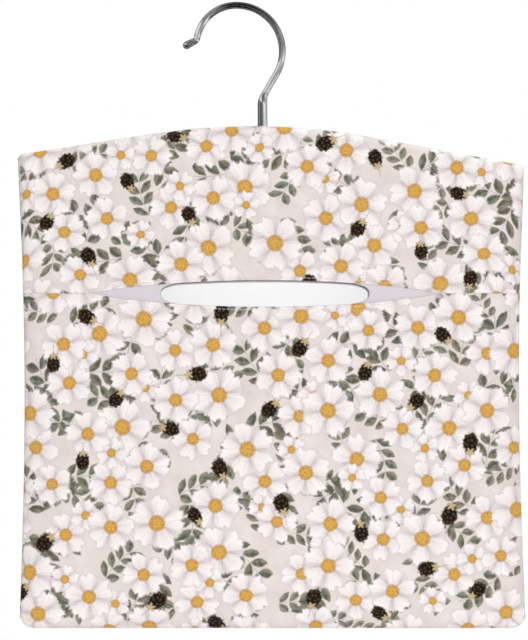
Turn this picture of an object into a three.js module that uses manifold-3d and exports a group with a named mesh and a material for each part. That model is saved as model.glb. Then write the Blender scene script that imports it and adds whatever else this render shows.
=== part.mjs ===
// A peg bag: a sewn cotton cover on an arched wooden hanger, hung by a chrome hook that swivels.
// Millimetres, +Z up, and the front faces -Y. The origin is where the bag hangs: the inner top
// of the hook's crook.
import * as THREE from "three";
import { mergeVertices } from "three/addons/utils/BufferGeometryUtils.js";
import Module from "manifold-3d";

const wasm = await Module();
wasm.setup();

// Hook: bent wire, with a thicker shank that turns in the hanger
const WIRE = 4.2; // wire diameter
const CROOK_RADIUS = 22.5; // inside of the crook on the side of its tip
const CROOK_WIDE = 26.2; // inside of the crook on the side of the slanting run
const CROOK_END = 11.6; // degrees above level where the crook ends and the tip turns out
const TIP_TURN = 52; // degrees that the tip turns outwards
const TIP_RADIUS = 4; // centreline of the tip's bend
const TIP_LENGTH = 4.8; // straight end of the tip, over which it swells
const TIP_BULB = 4.8; // diameter of the tip's rounded end
const DIAGONAL = 30.3; // degrees from upright of the slanting run
const SHANK_OFFSET = 16.1; // shank axis to the middle of the crook
const SHANK_BEND = 14; // centreline radius between the slanting run and the shank
const SHANK = 6; // shank diameter above the hanger
const SHANK_TAPER = 7.4; // length of wire, above the shank, over which it swells
const HEAD = 6.6; // diameter of the head that is upset on the lower end
const HEAD_HEIGHT = 2;
const HOOK_DROP = 72.2; // inner top of the crook down to the crown of the cover

// Hanger: an arched bar with rounded edges
const HANGER_LENGTH = 296;
const HANGER_DEPTH = 26;
const HANGER_THICKNESS = 12;
const EDGE_FLAT = 0.4; // flat that is left between the two rounded edges
const SHOULDER_SLOPE = 9.7; // degrees
const CROWN_HALF = 68; // half the width of the curved crown, before the straight shoulders
const HANGER_TILT = 0.9; // degrees that the bar sits out of square to the shank, lower on the right
const BUSH_WALL = 0.9;
const WASHER = 8.2; // washer diameter
const WASHER_HEIGHT = 1;
const POCKET_DEPTH = 6; // pocket under the bar for the washer and the head

// Cover: back, two fronts and a facing, sewn round the edge
const CLOTH = 0.8; // thickness of the cloth with its turned edges
const COVER_HEIGHT = 309; // crown to bottom seam
const COVER_SHIFT = 5.2; // how far the cover has slid along the hanger
const COVER_EASE = 3.5; // room past each end of the hanger
const BOTTOM_WIDTH = 312;
const BOTTOM_SHIFT = 1; // middle of the bottom seam from the middle of the cover
const WAIST_NIP = 4; // how far each side draws in at half height
const TOP_CORNER = 3;
const BOTTOM_CORNER = 9;
const SIDE_ROLL = 26; // width over which the pouch thins to its side seams
const BOTTOM_ROLL = 32; // height over which it thins to its bottom seam
const ROLL_RUN = 60; // height below the hanger over which the side edges soften
const BELLY = 10; // how far the pouch stands out past the hanger's thickness
const MOUTH_DEPTH = 103; // crown to the mouth line
const MOUTH_MARGIN = 47.3; // closed seam from each side to the end of the mouth
const MOUTH_OFFSET = -3.7; // middle of the mouth from the middle of the cover
const MOUTH_RISE = 8; // how far the upper edge of the mouth arches up
const MOUTH_SAG = 8.2; // how far the lower edge droops
const LENS_TAPER = 0.85; // how sharply the mouth narrows towards its ends
const OVAL_INSET = 42; // end of the mouth to the end of the oval in the facing
const OVAL_RIM = -0.5; // facing that shows above and below the oval; below 0 the lips hide it
const OVAL_BLUNT = 2.9; // how square the oval's ends are: 2 is an ellipse
const STRIP_BLUNT = 4; // the same for the facing's outer edge
const FACING_LAP = 9; // how far the facing reaches past the ends of the mouth
const FACING_DEPTH = 14; // how far it reaches above and below the mouth

// Fits
const GAP = 0.3; // between pieces that touch
const HOLE_EASE = 0.5; // round the shank where it comes through the cover

// Fineness of the facets
const WIRE_SIDES = 12;
const WIRE_STEPS = 96;
const TURNED_SIDES = 24;
const DOME_STEPS = 4;
const ROLL_STEPS = 4; // rows over a rolled edge
const COVER_COLUMNS = 24;
const BACK_ROWS = 12;
const UPPER_ROWS = 7;
const LOWER_ROWS = 11;
const FACING_STEPS = 48;
const FACING_ROWS = 3;
const BAR_ARC_STEPS = 10;
const BAR_EDGE_STEPS = 4;
const SETTLE_TURNS = 4; // passes that settle a point's width and height together
const MERGE = 1e-3; // vertices nearer than this are one

// Sizes that follow
const radians = THREE.MathUtils.degToRad;
const WIRE_RADIUS = WIRE / 2;
const CROOK_LINE = CROOK_RADIUS + WIRE_RADIUS;
const WIDE_LINE = CROOK_WIDE + WIRE_RADIUS;
const SEAT_DROP = CLOTH + GAP; // crown of the cover down to the top of the bar
const BUSH_BORE = WIRE_RADIUS + GAP;
const BUSH_RADIUS = BUSH_BORE + BUSH_WALL;
const BAR_HALF = HANGER_THICKNESS / 2;
// The bar's rounded top falls away at the rim of the bush's bore, and the bush ends below that.
const BUSH_SINK = BAR_HALF - Math.sqrt(BAR_HALF ** 2 - (BUSH_RADIUS + GAP) ** 2);
const PANEL_DEPTH = BAR_HALF + GAP + CLOTH; // middle plane to the outside of the cloth
const TOP_ROLL = PANEL_DEPTH; // the cloth turns round the bar's rounded edge
const SHOULDER_HALF = HANGER_LENGTH / 2 + COVER_SHIFT + COVER_EASE;
const BOTTOM_HALF = BOTTOM_WIDTH / 2;
const MOUTH_HALF_HEIGHT = (MOUTH_RISE + MOUTH_SAG) / 2;
const OVAL_CENTRE = -MOUTH_DEPTH + (MOUTH_RISE - MOUTH_SAG) / 2;

// Turns the faces of a closed geometry outwards if they point in.
function facingOut(geometry) {
  const place = geometry.getAttribute("position");
  const order = geometry.index.array;
  const corner = [0, 1, 2].map(() => new THREE.Vector3());
  let volume = 0;
  for (let i = 0; i < order.length; i += 3) {
    corner.forEach((point, k) => point.fromBufferAttribute(place, order[i + k]));
    volume += corner[0].dot(corner[1].cross(corner[2]));
  }
  if (volume < 0) {
    for (let i = 0; i < order.length; i += 3) {
      [order[i + 1], order[i + 2]] = [order[i + 2], order[i + 1]];
    }
  }
  return geometry;
}

// A geometry whose shared vertices are merged, with no collapsed faces.
function closedGeometry(geometry) {
  const bare = new THREE.BufferGeometry();
  bare.setAttribute("position", geometry.getAttribute("position"));
  bare.setIndex(geometry.index);
  const merged = mergeVertices(bare, MERGE);
  const order = merged.index.array;
  const kept = [];
  for (let i = 0; i < order.length; i += 3) {
    const [a, b, c] = order.subarray(i, i + 3);
    if (a !== b && b !== c && c !== a) {
      kept.push(a, b, c);
    }
  }
  merged.setIndex(kept);
  return facingOut(merged);
}

function solidOf(geometry) {
  const closed = closedGeometry(geometry);
  return new wasm.Manifold(
    new wasm.Mesh({
      numProp: 3,
      vertProperties: new Float32Array(closed.getAttribute("position").array),
      triVerts: new Uint32Array(closed.index.array),
    }),
  );
}

function geometryOf(solid) {
  const mesh = solid.getMesh();
  const geometry = new THREE.BufferGeometry();
  geometry.setAttribute("position", new THREE.BufferAttribute(mesh.vertProperties, 3));
  geometry.setIndex(new THREE.BufferAttribute(mesh.triVerts, 1));
  geometry.computeVertexNormals();
  return geometry;
}

// A round piece about Z from a profile of [radius, height] pairs.
function turned(profile) {
  const points = profile.map(([radius, height]) => new THREE.Vector2(radius, height));
  return new THREE.LatheGeometry(points, TURNED_SIDES).rotateX(Math.PI / 2);
}

function post(radius, low, high) {
  return turned([
    [0, low],
    [radius, low],
    [radius, high],
    [0, high],
  ]);
}

function ring(inner, outer, low, high) {
  return turned([
    [inner, low],
    [outer, low],
    [outer, high],
    [inner, high],
    [inner, low],
  ]);
}

// A flat arc in the XZ plane.
class FlatArc extends THREE.Curve {
  constructor(centre, radius, start, end) {
    super();
    Object.assign(this, { centre, radius, start, end });
  }

  getPoint(t, target = new THREE.Vector3()) {
    const angle = this.start + (this.end - this.start) * t;
    target.set(
      this.centre.x + this.radius * Math.cos(angle),
      0,
      this.centre.z + this.radius * Math.sin(angle),
    );
    return target;
  }
}

// A point that lies some way along a heading in the XZ plane.
function onward(from, heading, distance) {
  return new THREE.Vector3(
    from.x + Math.cos(heading) * distance,
    0,
    from.z + Math.sin(heading) * distance,
  );
}

// Hook

// The wire's centreline from the tip, over the crook, down the slanting run and into the shank.
// The crook is two arcs that meet at its top.
function hookRoute() {
  const middle = new THREE.Vector3(0, 0, -CROOK_RADIUS);
  const wideMiddle = new THREE.Vector3(0, 0, -CROOK_WIDE);
  const crookStart = Math.PI - radians(CROOK_END);
  const crook = new FlatArc(middle, CROOK_LINE, crookStart, Math.PI / 2);
  const wideCrook = new FlatArc(wideMiddle, WIDE_LINE, Math.PI / 2, -radians(DIAGONAL));

  // The tip leaves the crook along its tangent and curls the other way, so its centre lies outside.
  const tipCentre = onward(middle, crookStart, CROOK_LINE + TIP_RADIUS);
  const tipJoin = crookStart - Math.PI;
  const tipBend = new FlatArc(tipCentre, TIP_RADIUS, tipJoin - radians(TIP_TURN), tipJoin);
  const tipStart = tipBend.getPoint(0);
  const tipHeading = tipBend.start - Math.PI / 2;
  const tipEnd = onward(tipStart, tipHeading, TIP_LENGTH);

  // The slanting run meets the shank's axis at a corner that a bend rounds off.
  const slantStart = wideCrook.getPoint(1);
  const slantDrop = (slantStart.x - SHANK_OFFSET) / Math.tan(radians(DIAGONAL));
  const corner = new THREE.Vector3(SHANK_OFFSET, 0, slantStart.z - slantDrop);
  const trim = SHANK_BEND * Math.tan(radians(DIAGONAL) / 2);
  const slantEnd = onward(corner, Math.PI / 2 - radians(DIAGONAL), trim);
  const shankStart = onward(corner, -Math.PI / 2, trim);
  const bendCentre = onward(shankStart, 0, SHANK_BEND);
  const bend = new FlatArc(bendCentre, SHANK_BEND, Math.PI - radians(DIAGONAL), Math.PI);

  const route = new THREE.CurvePath();
  route.add(new THREE.LineCurve3(tipEnd, tipStart));
  route.add(tipBend);
  route.add(crook);
  route.add(wideCrook);
  route.add(new THREE.LineCurve3(slantStart, slantEnd));
  route.add(bend);
  route.add(new THREE.LineCurve3(shankStart, onward(shankStart, -Math.PI / 2, WIRE_RADIUS)));
  return { route, tipStart, tipHeading, shankStart };
}

// Rings of points round a flat route. The radius follows the distance that is left along it.
function ringsRound(route, radiusAt) {
  return [...Array(WIRE_STEPS + 1).keys()].map((step) => {
    const share = step / WIRE_STEPS;
    const middle = route.getPoint(share);
    const heading = route.getTangent(share);
    const radius = radiusAt((1 - share) * route.getLength());
    return [...Array(WIRE_SIDES).keys()].map((side) => {
      const angle = (side / WIRE_SIDES) * 2 * Math.PI;
      const aside = radius * Math.cos(angle);
      return new THREE.Vector3(
        middle.x - heading.z * aside,
        radius * Math.sin(angle),
        middle.z + heading.x * aside,
      );
    });
  });
}

// The wire's radius at a distance from the end of its route, which lies inside the shank.
function wireRadius(left) {
  const swelling = THREE.MathUtils.smoothstep(WIRE_RADIUS + SHANK_TAPER - left, 0, SHANK_TAPER);
  return THREE.MathUtils.lerp(WIRE_RADIUS, SHANK / 2, swelling);
}

// The tip's straight end, along Z from 0: it swells and closes with a dome.
function tipGeometry() {
  const radius = TIP_BULB / 2;
  const dome = [...Array(DOME_STEPS + 1).keys()].map((k) => {
    const angle = (k / DOME_STEPS) * (Math.PI / 2);
    return [radius * Math.cos(angle), TIP_LENGTH + radius * Math.sin(angle)];
  });
  return turned([[0, 0], [WIRE_RADIUS, 0], ...dome]);
}

function hookGeometry() {
  const { route, tipStart, tipHeading, shankStart } = hookRoute();
  // The inner skin has shrunk to the centreline, so the wire is solid.
  const wire = sheetBetween(ringsRound(route, wireRadius), ringsRound(route, () => 0), true);
  const tip = tipGeometry().rotateY(Math.PI / 2 - tipHeading);
  tip.translate(tipStart.x, 0, tipStart.z);

  // The shank stands on the bush and runs down through it to the head.
  const seat = -HOOK_DROP - SEAT_DROP;
  const shoulder = seat - BUSH_SINK + GAP;
  const headTop = seat - HANGER_DEPTH + POCKET_DEPTH - GAP - WASHER_HEIGHT - GAP;
  const shank = turned([
    [0, headTop - HEAD_HEIGHT],
    [HEAD / 2, headTop - HEAD_HEIGHT],
    [HEAD / 2, headTop],
    [WIRE_RADIUS, headTop],
    [WIRE_RADIUS, shoulder],
    [SHANK / 2, shoulder],
    [SHANK / 2, shankStart.z],
    [0, shankStart.z],
  ]).translate(SHANK_OFFSET, 0, 0);
  return geometryOf(solidOf(wire).add(solidOf(tip)).add(solidOf(shank)));
}

// Hanger

// How far the level arch has dropped at a distance from its middle.
function archDrop(distance) {
  const slope = radians(SHOULDER_SLOPE);
  const radius = CROWN_HALF / Math.sin(slope);
  const away = Math.abs(distance);
  if (away < CROWN_HALF) {
    return radius - Math.sqrt(radius * radius - away * away);
  }
  return radius * (1 - Math.cos(slope)) + (away - CROWN_HALF) * Math.tan(slope);
}

// Height of the tilted bar's top at a distance from the shank, measured from its seat.
function barTop(distance) {
  return -archDrop(distance) - distance * Math.tan(radians(HANGER_TILT));
}

// The level bar's outline, drawn at the height of its seat: arched top and bottom, round ends.
function hangerOutline() {
  const half = HANGER_LENGTH / 2;
  const slope = radians(SHOULDER_SLOPE);
  const crownRadius = CROWN_HALF / Math.sin(slope);
  const endRadius = HANGER_DEPTH / 2;
  const endX = half - endRadius;
  const endZ = -archDrop(endX) - endRadius / Math.cos(slope);
  const innerRadius = crownRadius - HANGER_DEPTH;
  const outline = new THREE.Shape();
  outline.absarc(0, -crownRadius, crownRadius, Math.PI / 2 + slope, Math.PI / 2 - slope, true);
  outline.absarc(endX, endZ, endRadius, Math.PI / 2 - slope, -Math.PI / 2 - slope, true);
  outline.absarc(0, -crownRadius, innerRadius, Math.PI / 2 - slope, Math.PI / 2 + slope, false);
  outline.absarc(-endX, endZ, endRadius, -Math.PI / 2 + slope, Math.PI / 2 + slope, true);
  return outline;
}

function hangerGeometry() {
  const round = (HANGER_THICKNESS - EDGE_FLAT) / 2;
  const bar = new THREE.ExtrudeGeometry(hangerOutline(), {
    depth: EDGE_FLAT,
    curveSegments: BAR_ARC_STEPS,
    bevelThickness: round,
    bevelSize: round,
    bevelOffset: -round,
    bevelSegments: BAR_EDGE_STEPS,
  });
  bar.translate(0, 0, -EDGE_FLAT / 2).rotateX(Math.PI / 2).rotateY(radians(HANGER_TILT));
  bar.setIndex([...Array(bar.getAttribute("position").count).keys()]);
  const below = -HANGER_DEPTH - BAR_HALF;
  const bore = post(BUSH_RADIUS + GAP, below, BAR_HALF);
  const pocket = post(WASHER / 2 + GAP, below, -HANGER_DEPTH + POCKET_DEPTH);
  return geometryOf(solidOf(bar).subtract(solidOf(bore)).subtract(solidOf(pocket)));
}

function bushGeometry() {
  return closedGeometry(ring(BUSH_BORE, BUSH_RADIUS, -HANGER_DEPTH + POCKET_DEPTH, -BUSH_SINK));
}

function washerGeometry() {
  const top = -HANGER_DEPTH + POCKET_DEPTH - GAP;
  return closedGeometry(ring(BUSH_BORE, WASHER / 2, top - WASHER_HEIGHT, top));
}

// Cover

// The share of the way from the crown down to the bottom seam.
function downShare(z) {
  return THREE.MathUtils.clamp(-z / COVER_HEIGHT, 0, 1);
}

// The middle of the cover at a height, between its two side seams.
function midline(z) {
  return BOTTOM_SHIFT * downShare(z);
}

// Half the cover's width at a height below the crown.
function halfWidth(z) {
  const share = downShare(z);
  const straight = THREE.MathUtils.lerp(SHOULDER_HALF, BOTTOM_HALF, share);
  return straight - WAIST_NIP * Math.sin(Math.PI * share);
}

// How far a round corner has cut in at a distance from the side edge.
function cornerCut(fromEdge, radius) {
  const into = THREE.MathUtils.clamp(1 - fromEdge / radius, 0, 1);
  return radius * (1 - Math.sqrt(1 - into * into));
}

function mouthHalf() {
  return halfWidth(-MOUTH_DEPTH) - MOUTH_MARGIN;
}

// How open the mouth is at x, from 1 in the middle to 0 at its ends.
function mouthShare(x) {
  const share = (x - MOUTH_OFFSET) / mouthHalf();
  return Math.max(0, 1 - share * share) ** LENS_TAPER;
}

// Distance of the front cloth's outside from the middle plane: it bellies out below the hanger,
// most at two thirds of the way down, where the factor 27/4 brings the curve to 1.
function frontDepth(x, z) {
  const top = -SEAT_DROP - HANGER_DEPTH;
  const down = THREE.MathUtils.clamp((top - z) / (top + COVER_HEIGHT), 0, 1);
  const across = THREE.MathUtils.clamp((x - midline(z)) / halfWidth(z), -1, 1);
  const fall = (27 / 4) * down * down * (1 - down);
  return PANEL_DEPTH + BELLY * fall * (1 - across * across) ** 2;
}

function backDepth() {
  return PANEL_DEPTH;
}

// Width of the rolled side edge: tight round the hanger's end, then softer down the pouch.
function sideRoll(z) {
  const end = HANGER_LENGTH / 2;
  const start = -SEAT_DROP + Math.min(barTop(-end), barTop(end)) - HANGER_DEPTH;
  return THREE.MathUtils.lerp(TOP_ROLL, SIDE_ROLL, THREE.MathUtils.smoothstep(start - z, 0, ROLL_RUN));
}

// Stations over a sheet, from one edge to the other. A rolled edge has stations at equal angles,
// and out is the sine of that angle; between the edges they are evenly spaced.
function stations(count, rolledStart, rolledEnd) {
  const angles = [...Array(ROLL_STEPS).keys()].map((k) => (k / ROLL_STEPS) * (Math.PI / 2));
  const spread = [...Array(count + 1).keys()].map((k) => ({ share: k / count, out: 1 }));
  const edge = (end) => (a) => ({ end, inward: 1 - Math.cos(a), out: Math.sin(a) });
  return [
    ...(rolledStart ? angles.map(edge(0)) : []),
    ...spread,
    ...(rolledEnd ? angles.map(edge(1)).reverse() : []),
  ];
}

// Where a station lies between two edges of a sheet whose cloth is set in by inset. A roll of 0
// is a cut edge, which isn't set in.
function along(station, [start, end], [startRoll, endRoll], inset) {
  const sense = Math.sign(end - start);
  if (station.end === 0) {
    return start + sense * (inset + (startRoll - inset) * station.inward);
  }
  if (station.end === 1) {
    return end - sense * (inset + (endRoll - inset) * station.inward);
  }
  return THREE.MathUtils.lerp(start + sense * startRoll, end - sense * endRoll, station.share);
}

// One skin of a cover sheet as rows of points. side is -1 in front and 1 behind.
function coverSkin({ side, depth, rows, high, low, topRoll, bottomRoll }, inset) {
  const columns = stations(COVER_COLUMNS, true, true);
  const downRows = stations(rows, topRoll > 0, bottomRoll > 0);
  const across = (column, z, set) => {
    const middle = midline(z);
    const half = halfWidth(z);
    const roll = sideRoll(z);
    return along(column, [middle - half, middle + half], [roll, roll], set);
  };
  const down = (row, x, set) => along(row, [high(x), low(x)], [topRoll, bottomRoll], set);
  return downRows.map((row) =>
    columns.map((column) => {
      // The width depends on the height and the edges' heights on x, so both are settled in turn.
      let x = across(column, 0, 0);
      let z = down(row, x, 0);
      for (let turn = 0; turn < SETTLE_TURNS; turn += 1) {
        x = across(column, z, 0);
        z = down(row, x, 0);
      }
      const setX = across(column, z, inset);
      const setZ = down(row, x, inset);
      const out = (depth(x, z) - inset) * column.out * row.out;
      return new THREE.Vector3(setX, side * (out + GAP / 2), setZ);
    }),
  );
}

// A closed sheet between two skins of the same rows and columns. A looped sheet joins its last
// column to its first.
function sheetBetween(outer, inner, looped = false) {
  const rows = outer.length;
  const columns = outer[0].length;
  const points = [...outer.flat(), ...inner.flat()];
  const at = (skin, row, column) => (skin * rows + row) * columns + (column % columns);
  const order = [];
  const quad = (a, b, c, d) => order.push(a, b, c, a, c, d);
  const lastColumn = looped ? columns : columns - 1;
  for (let r = 0; r < rows - 1; r += 1) {
    for (let c = 0; c < lastColumn; c += 1) {
      quad(at(0, r, c), at(0, r + 1, c), at(0, r + 1, c + 1), at(0, r, c + 1));
      quad(at(1, r, c), at(1, r, c + 1), at(1, r + 1, c + 1), at(1, r + 1, c));
    }
  }
  for (let c = 0; c < lastColumn; c += 1) {
    quad(at(0, 0, c), at(0, 0, c + 1), at(1, 0, c + 1), at(1, 0, c));
    quad(at(0, rows - 1, c + 1), at(0, rows - 1, c), at(1, rows - 1, c), at(1, rows - 1, c + 1));
  }
  if (!looped) {
    for (let r = 0; r < rows - 1; r += 1) {
      quad(at(0, r + 1, 0), at(0, r, 0), at(1, r, 0), at(1, r + 1, 0));
      const c = columns - 1;
      quad(at(0, r, c), at(0, r + 1, c), at(1, r + 1, c), at(1, r, c));
    }
  }
  const geometry = new THREE.BufferGeometry().setFromPoints(points);
  geometry.setIndex(order);
  return closedGeometry(geometry);
}

function coverSheet(plan) {
  return sheetBetween(coverSkin(plan, 0), coverSkin(plan, CLOTH));
}

// The gap in the top seam that the shank comes through.
function withHookHole(geometry) {
  const hole = post(SHANK / 2 + HOLE_EASE, -TOP_ROLL, TOP_ROLL).translate(-COVER_SHIFT, 0, 0);
  return geometryOf(solidOf(geometry).subtract(solidOf(hole)));
}

// Heights of the cover's edges at x. The round corners reach out to the side seams.
const TOP_CORNER_X = halfWidth(-archDrop(SHOULDER_HALF) - TOP_CORNER);
const BOTTOM_CORNER_X = halfWidth(-COVER_HEIGHT + BOTTOM_CORNER);

function topEdge(x) {
  return barTop(x + COVER_SHIFT) - cornerCut(TOP_CORNER_X - Math.abs(x), TOP_CORNER);
}

function bottomEdge(x) {
  return -COVER_HEIGHT + cornerCut(BOTTOM_CORNER_X - Math.abs(x - BOTTOM_SHIFT), BOTTOM_CORNER);
}

function upperMouthEdge(x) {
  return -MOUTH_DEPTH + GAP / 2 + MOUTH_RISE * mouthShare(x);
}

function lowerMouthEdge(x) {
  return -MOUTH_DEPTH - GAP / 2 - MOUTH_SAG * mouthShare(x);
}

const BACK = {
  side: 1,
  depth: backDepth,
  rows: BACK_ROWS,
  high: topEdge,
  low: bottomEdge,
  topRoll: TOP_ROLL,
  bottomRoll: BOTTOM_ROLL,
};
const UPPER_FRONT = {
  side: -1,
  depth: frontDepth,
  rows: UPPER_ROWS,
  high: topEdge,
  low: upperMouthEdge,
  topRoll: TOP_ROLL,
  bottomRoll: 0,
};
const LOWER_FRONT = {
  side: -1,
  depth: frontDepth,
  rows: LOWER_ROWS,
  high: lowerMouthEdge,
  low: bottomEdge,
  topRoll: 0,
  bottomRoll: BOTTOM_ROLL,
};

// How far out a blunt oval of half-widths 1 lies in the direction of a point on the unit circle.
function bluntReach(across, up, blunt) {
  return (Math.abs(across) ** blunt + Math.abs(up) ** blunt) ** (-1 / blunt);
}

// The facing: a plain strip sewn behind the mouth, with an oval cut out of it.
function facingSkin(inset) {
  const ovalHalf = mouthHalf() - OVAL_INSET;
  const stripHalf = mouthHalf() + FACING_LAP;
  const ovalHalfHeight = MOUTH_HALF_HEIGHT - OVAL_RIM;
  const stripHalfHeight = MOUTH_HALF_HEIGHT + FACING_DEPTH;
  return [...Array(FACING_ROWS + 1).keys()].map((row) =>
    [...Array(FACING_STEPS).keys()].map((step) => {
      const angle = (step / FACING_STEPS) * 2 * Math.PI;
      const across = Math.cos(angle);
      const up = Math.sin(angle);
      const oval = bluntReach(across, up, OVAL_BLUNT);
      const strip = bluntReach(across, up, STRIP_BLUNT);
      const share = row / FACING_ROWS;
      const reach = THREE.MathUtils.lerp(ovalHalf * oval, stripHalf * strip, share);
      const rise = THREE.MathUtils.lerp(ovalHalfHeight * oval, stripHalfHeight * strip, share);
      const x = MOUTH_OFFSET + reach * across;
      const z = OVAL_CENTRE + rise * up;
      return new THREE.Vector3(x, -(frontDepth(x, z) - inset + GAP / 2), z);
    }),
  );
}

function facingGeometry() {
  const front = CLOTH + GAP;
  return sheetBetween(facingSkin(front), facingSkin(front + CLOTH), true);
}

// Assembly
const chrome = { color: 0xb9babf, roughness: 0.12, metalness: 1 };
const steel = { color: 0x8f9194, roughness: 0.4, metalness: 1 };
const beech = { color: 0xc79a63, roughness: 0.6, metalness: 0 };
const printedCotton = { color: 0xe9e4e0, roughness: 0.9, metalness: 0 };
const plainCotton = { color: 0xeceaf0, roughness: 0.9, metalness: 0 };

function piece(name, geometry, finish) {
  const mesh = new THREE.Mesh(geometry, new THREE.MeshStandardMaterial(finish));
  mesh.name = name;
  return mesh;
}

const hanger = new THREE.Group();
hanger.position.set(SHANK_OFFSET, 0, -HOOK_DROP - SEAT_DROP);
hanger.add(
  piece("hanger_bar", hangerGeometry(), beech),
  piece("hook_bush", bushGeometry(), steel),
  piece("hook_washer", washerGeometry(), steel),
);

const cover = new THREE.Group();
cover.position.set(SHANK_OFFSET + COVER_SHIFT, 0, -HOOK_DROP);
cover.add(
  piece("back_panel", withHookHole(coverSheet(BACK)), printedCotton),
  piece("upper_front", withHookHole(coverSheet(UPPER_FRONT)), printedCotton),
  piece("lower_front", coverSheet(LOWER_FRONT), printedCotton),
  piece("mouth_facing", facingGeometry(), plainCotton),
);

const pegBag = new THREE.Group();
pegBag.add(piece("hook", hookGeometry(), chrome), hanger, cover);

export default pegBag;
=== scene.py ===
"""Looks of a peg bag: a printed cotton cover on a beech hanger, hung by a chrome hook.

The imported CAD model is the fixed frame, in metres, +Z up, with the printed front towards -Y. The
hook, the cover's panels, the mouth's facing and the sewing are modelled here. The hanger bar, its
bush and its washer keep their CAD solids and get their finishes.
"""

import logging
import math
from collections.abc import Callable, Iterable
from dataclasses import dataclass, field
from enum import Enum

import bpy
import numpy as np
from mathutils import Euler, Matrix, Vector, noise

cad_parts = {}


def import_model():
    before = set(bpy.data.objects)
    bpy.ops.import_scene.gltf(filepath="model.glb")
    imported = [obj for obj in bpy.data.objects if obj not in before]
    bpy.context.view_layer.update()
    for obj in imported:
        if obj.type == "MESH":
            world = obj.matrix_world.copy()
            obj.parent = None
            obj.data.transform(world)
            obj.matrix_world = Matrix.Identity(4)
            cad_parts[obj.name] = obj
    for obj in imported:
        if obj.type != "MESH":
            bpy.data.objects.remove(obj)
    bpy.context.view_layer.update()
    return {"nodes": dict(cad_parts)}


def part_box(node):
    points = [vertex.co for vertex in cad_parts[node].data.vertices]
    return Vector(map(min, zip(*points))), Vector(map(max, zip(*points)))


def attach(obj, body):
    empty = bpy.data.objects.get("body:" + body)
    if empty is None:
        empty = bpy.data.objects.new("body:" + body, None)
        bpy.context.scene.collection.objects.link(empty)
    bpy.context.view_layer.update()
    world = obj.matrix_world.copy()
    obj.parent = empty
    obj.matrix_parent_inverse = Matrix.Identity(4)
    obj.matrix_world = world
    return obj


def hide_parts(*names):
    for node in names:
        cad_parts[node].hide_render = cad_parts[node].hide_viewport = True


LOG = logging.getLogger("peg_bag")
MM = 0.001
# A wave texture at a scale of 1 turns through this many radians along a metre of an axis, and
# through half as many where its bands run on the diagonal.
WAVE_TURN = 20.0
# A colour mix's inputs: how much of the upper colour shows, then the two colours.
SHARE, UNDER, OVER = 0, 6, 7
# The range that a noise texture mostly keeps to.
NOISE_RANGE = {"From Min": 0.3, "From Max": 0.7}

Grid = np.ndarray
Edge = Callable[[Grid], Grid]
Material = bpy.types.Material
Node = bpy.types.Node
Piece = bpy.types.Object
Socket = bpy.types.NodeSocket
Tree = bpy.types.NodeTree


class Body(Enum):
    """The CAD bodies that pieces ride on."""

    HOOK = "hook"
    BAG = "bag"


class Slot(Enum):
    """The record's material slots."""

    CHROME = "chrome_wire"
    PRINT = "printed_cotton"
    PLAIN = "plain_cotton"


class Side(Enum):
    """The side of the middle plane that a sheet of cloth lies on."""

    FRONT = -1
    BACK = 1


def linear(colour: str) -> tuple[float, float, float, float]:
    """Turns a colour into linear light.

    Args:
        colour: An sRGB colour such as "#e0d8d6".

    Returns:
        Red, green, blue and an alpha of 1.
    """
    parts = [int(colour[i : i + 2], 16) / 255 for i in (1, 3, 5)]
    light = [p / 12.92 if p <= 0.04045 else ((p + 0.055) / 1.055) ** 2.4 for p in parts]
    return (*light, 1.0)


def put(tree: Tree, node: Node, inputs: dict[str | int, object]) -> None:
    """Gives inputs of a node their values or links.

    Args:
        tree: The node's tree.
        node: The node.
        inputs: A value, a socket or a node for each input, by its name or its place. A node stands
            for its first output in use.
    """
    for place, value in inputs.items():
        if isinstance(value, Node):
            value = next(output for output in value.outputs if output.enabled)
        if isinstance(value, Socket):
            tree.links.new(value, node.inputs[place])
        else:
            node.inputs[place].default_value = value


def add(tree: Tree, kind: str, inputs: dict[str | int, object] | None = None, **settings: object) -> Node:
    """Adds a node with its settings and links.

    Args:
        tree: The node tree that takes the node.
        kind: The node's type, without its ShaderNode prefix.
        inputs: What its inputs get, as put takes them.
        settings: Properties of the node.

    Returns:
        The new node.
    """
    node = tree.nodes.new("ShaderNode" + kind)
    for name, value in settings.items():
        setattr(node, name, value)
    put(tree, node, inputs or {})
    return node


def new_material(name: str, **constants: object) -> tuple[Material, Tree, Node]:
    """Makes a material with one shader.

    Args:
        name: What the material is.
        constants: Values of the shader's inputs that are the same all over, with _ for a space.

    Returns:
        The material, its node tree and its shader.
    """
    material = bpy.data.materials.new(name)
    material.use_nodes = True
    tree = material.node_tree
    shader = tree.nodes["Principled BSDF"]
    put(tree, shader, {key.replace("_", " "): value for key, value in constants.items()})
    return material, tree, shader


def select_only(piece: Piece | None = None) -> None:
    """Deselects everything, then selects one object and makes it active.

    Args:
        piece: The object, or None to select nothing.
    """
    for other in bpy.context.selected_objects:
        other.select_set(False)
    bpy.context.view_layer.objects.active = piece
    if piece:
        piece.select_set(True)


def add_disc(
    name: str,
    sides: int,
    radius: float,
    place: Iterable[float],
    turn: tuple[float, float, float] = (0.0, 0.0, 0.0),
) -> Piece:
    """Adds a flat disc to model from, with its place in its mesh.

    Args:
        name: The piece's name.
        sides: Number of corners.
        radius: Radius in metres.
        place: Its middle.
        turn: Its turn about each axis in radians.

    Returns:
        The disc, selected and active.
    """
    select_only()
    bpy.ops.mesh.primitive_circle_add(
        vertices=sides, radius=radius, fill_type="NGON", location=place, rotation=turn
    )
    disc = bpy.context.object
    disc.name = disc.data.name = name
    bpy.ops.object.transform_apply(location=True, rotation=True, scale=False)
    return disc


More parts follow.
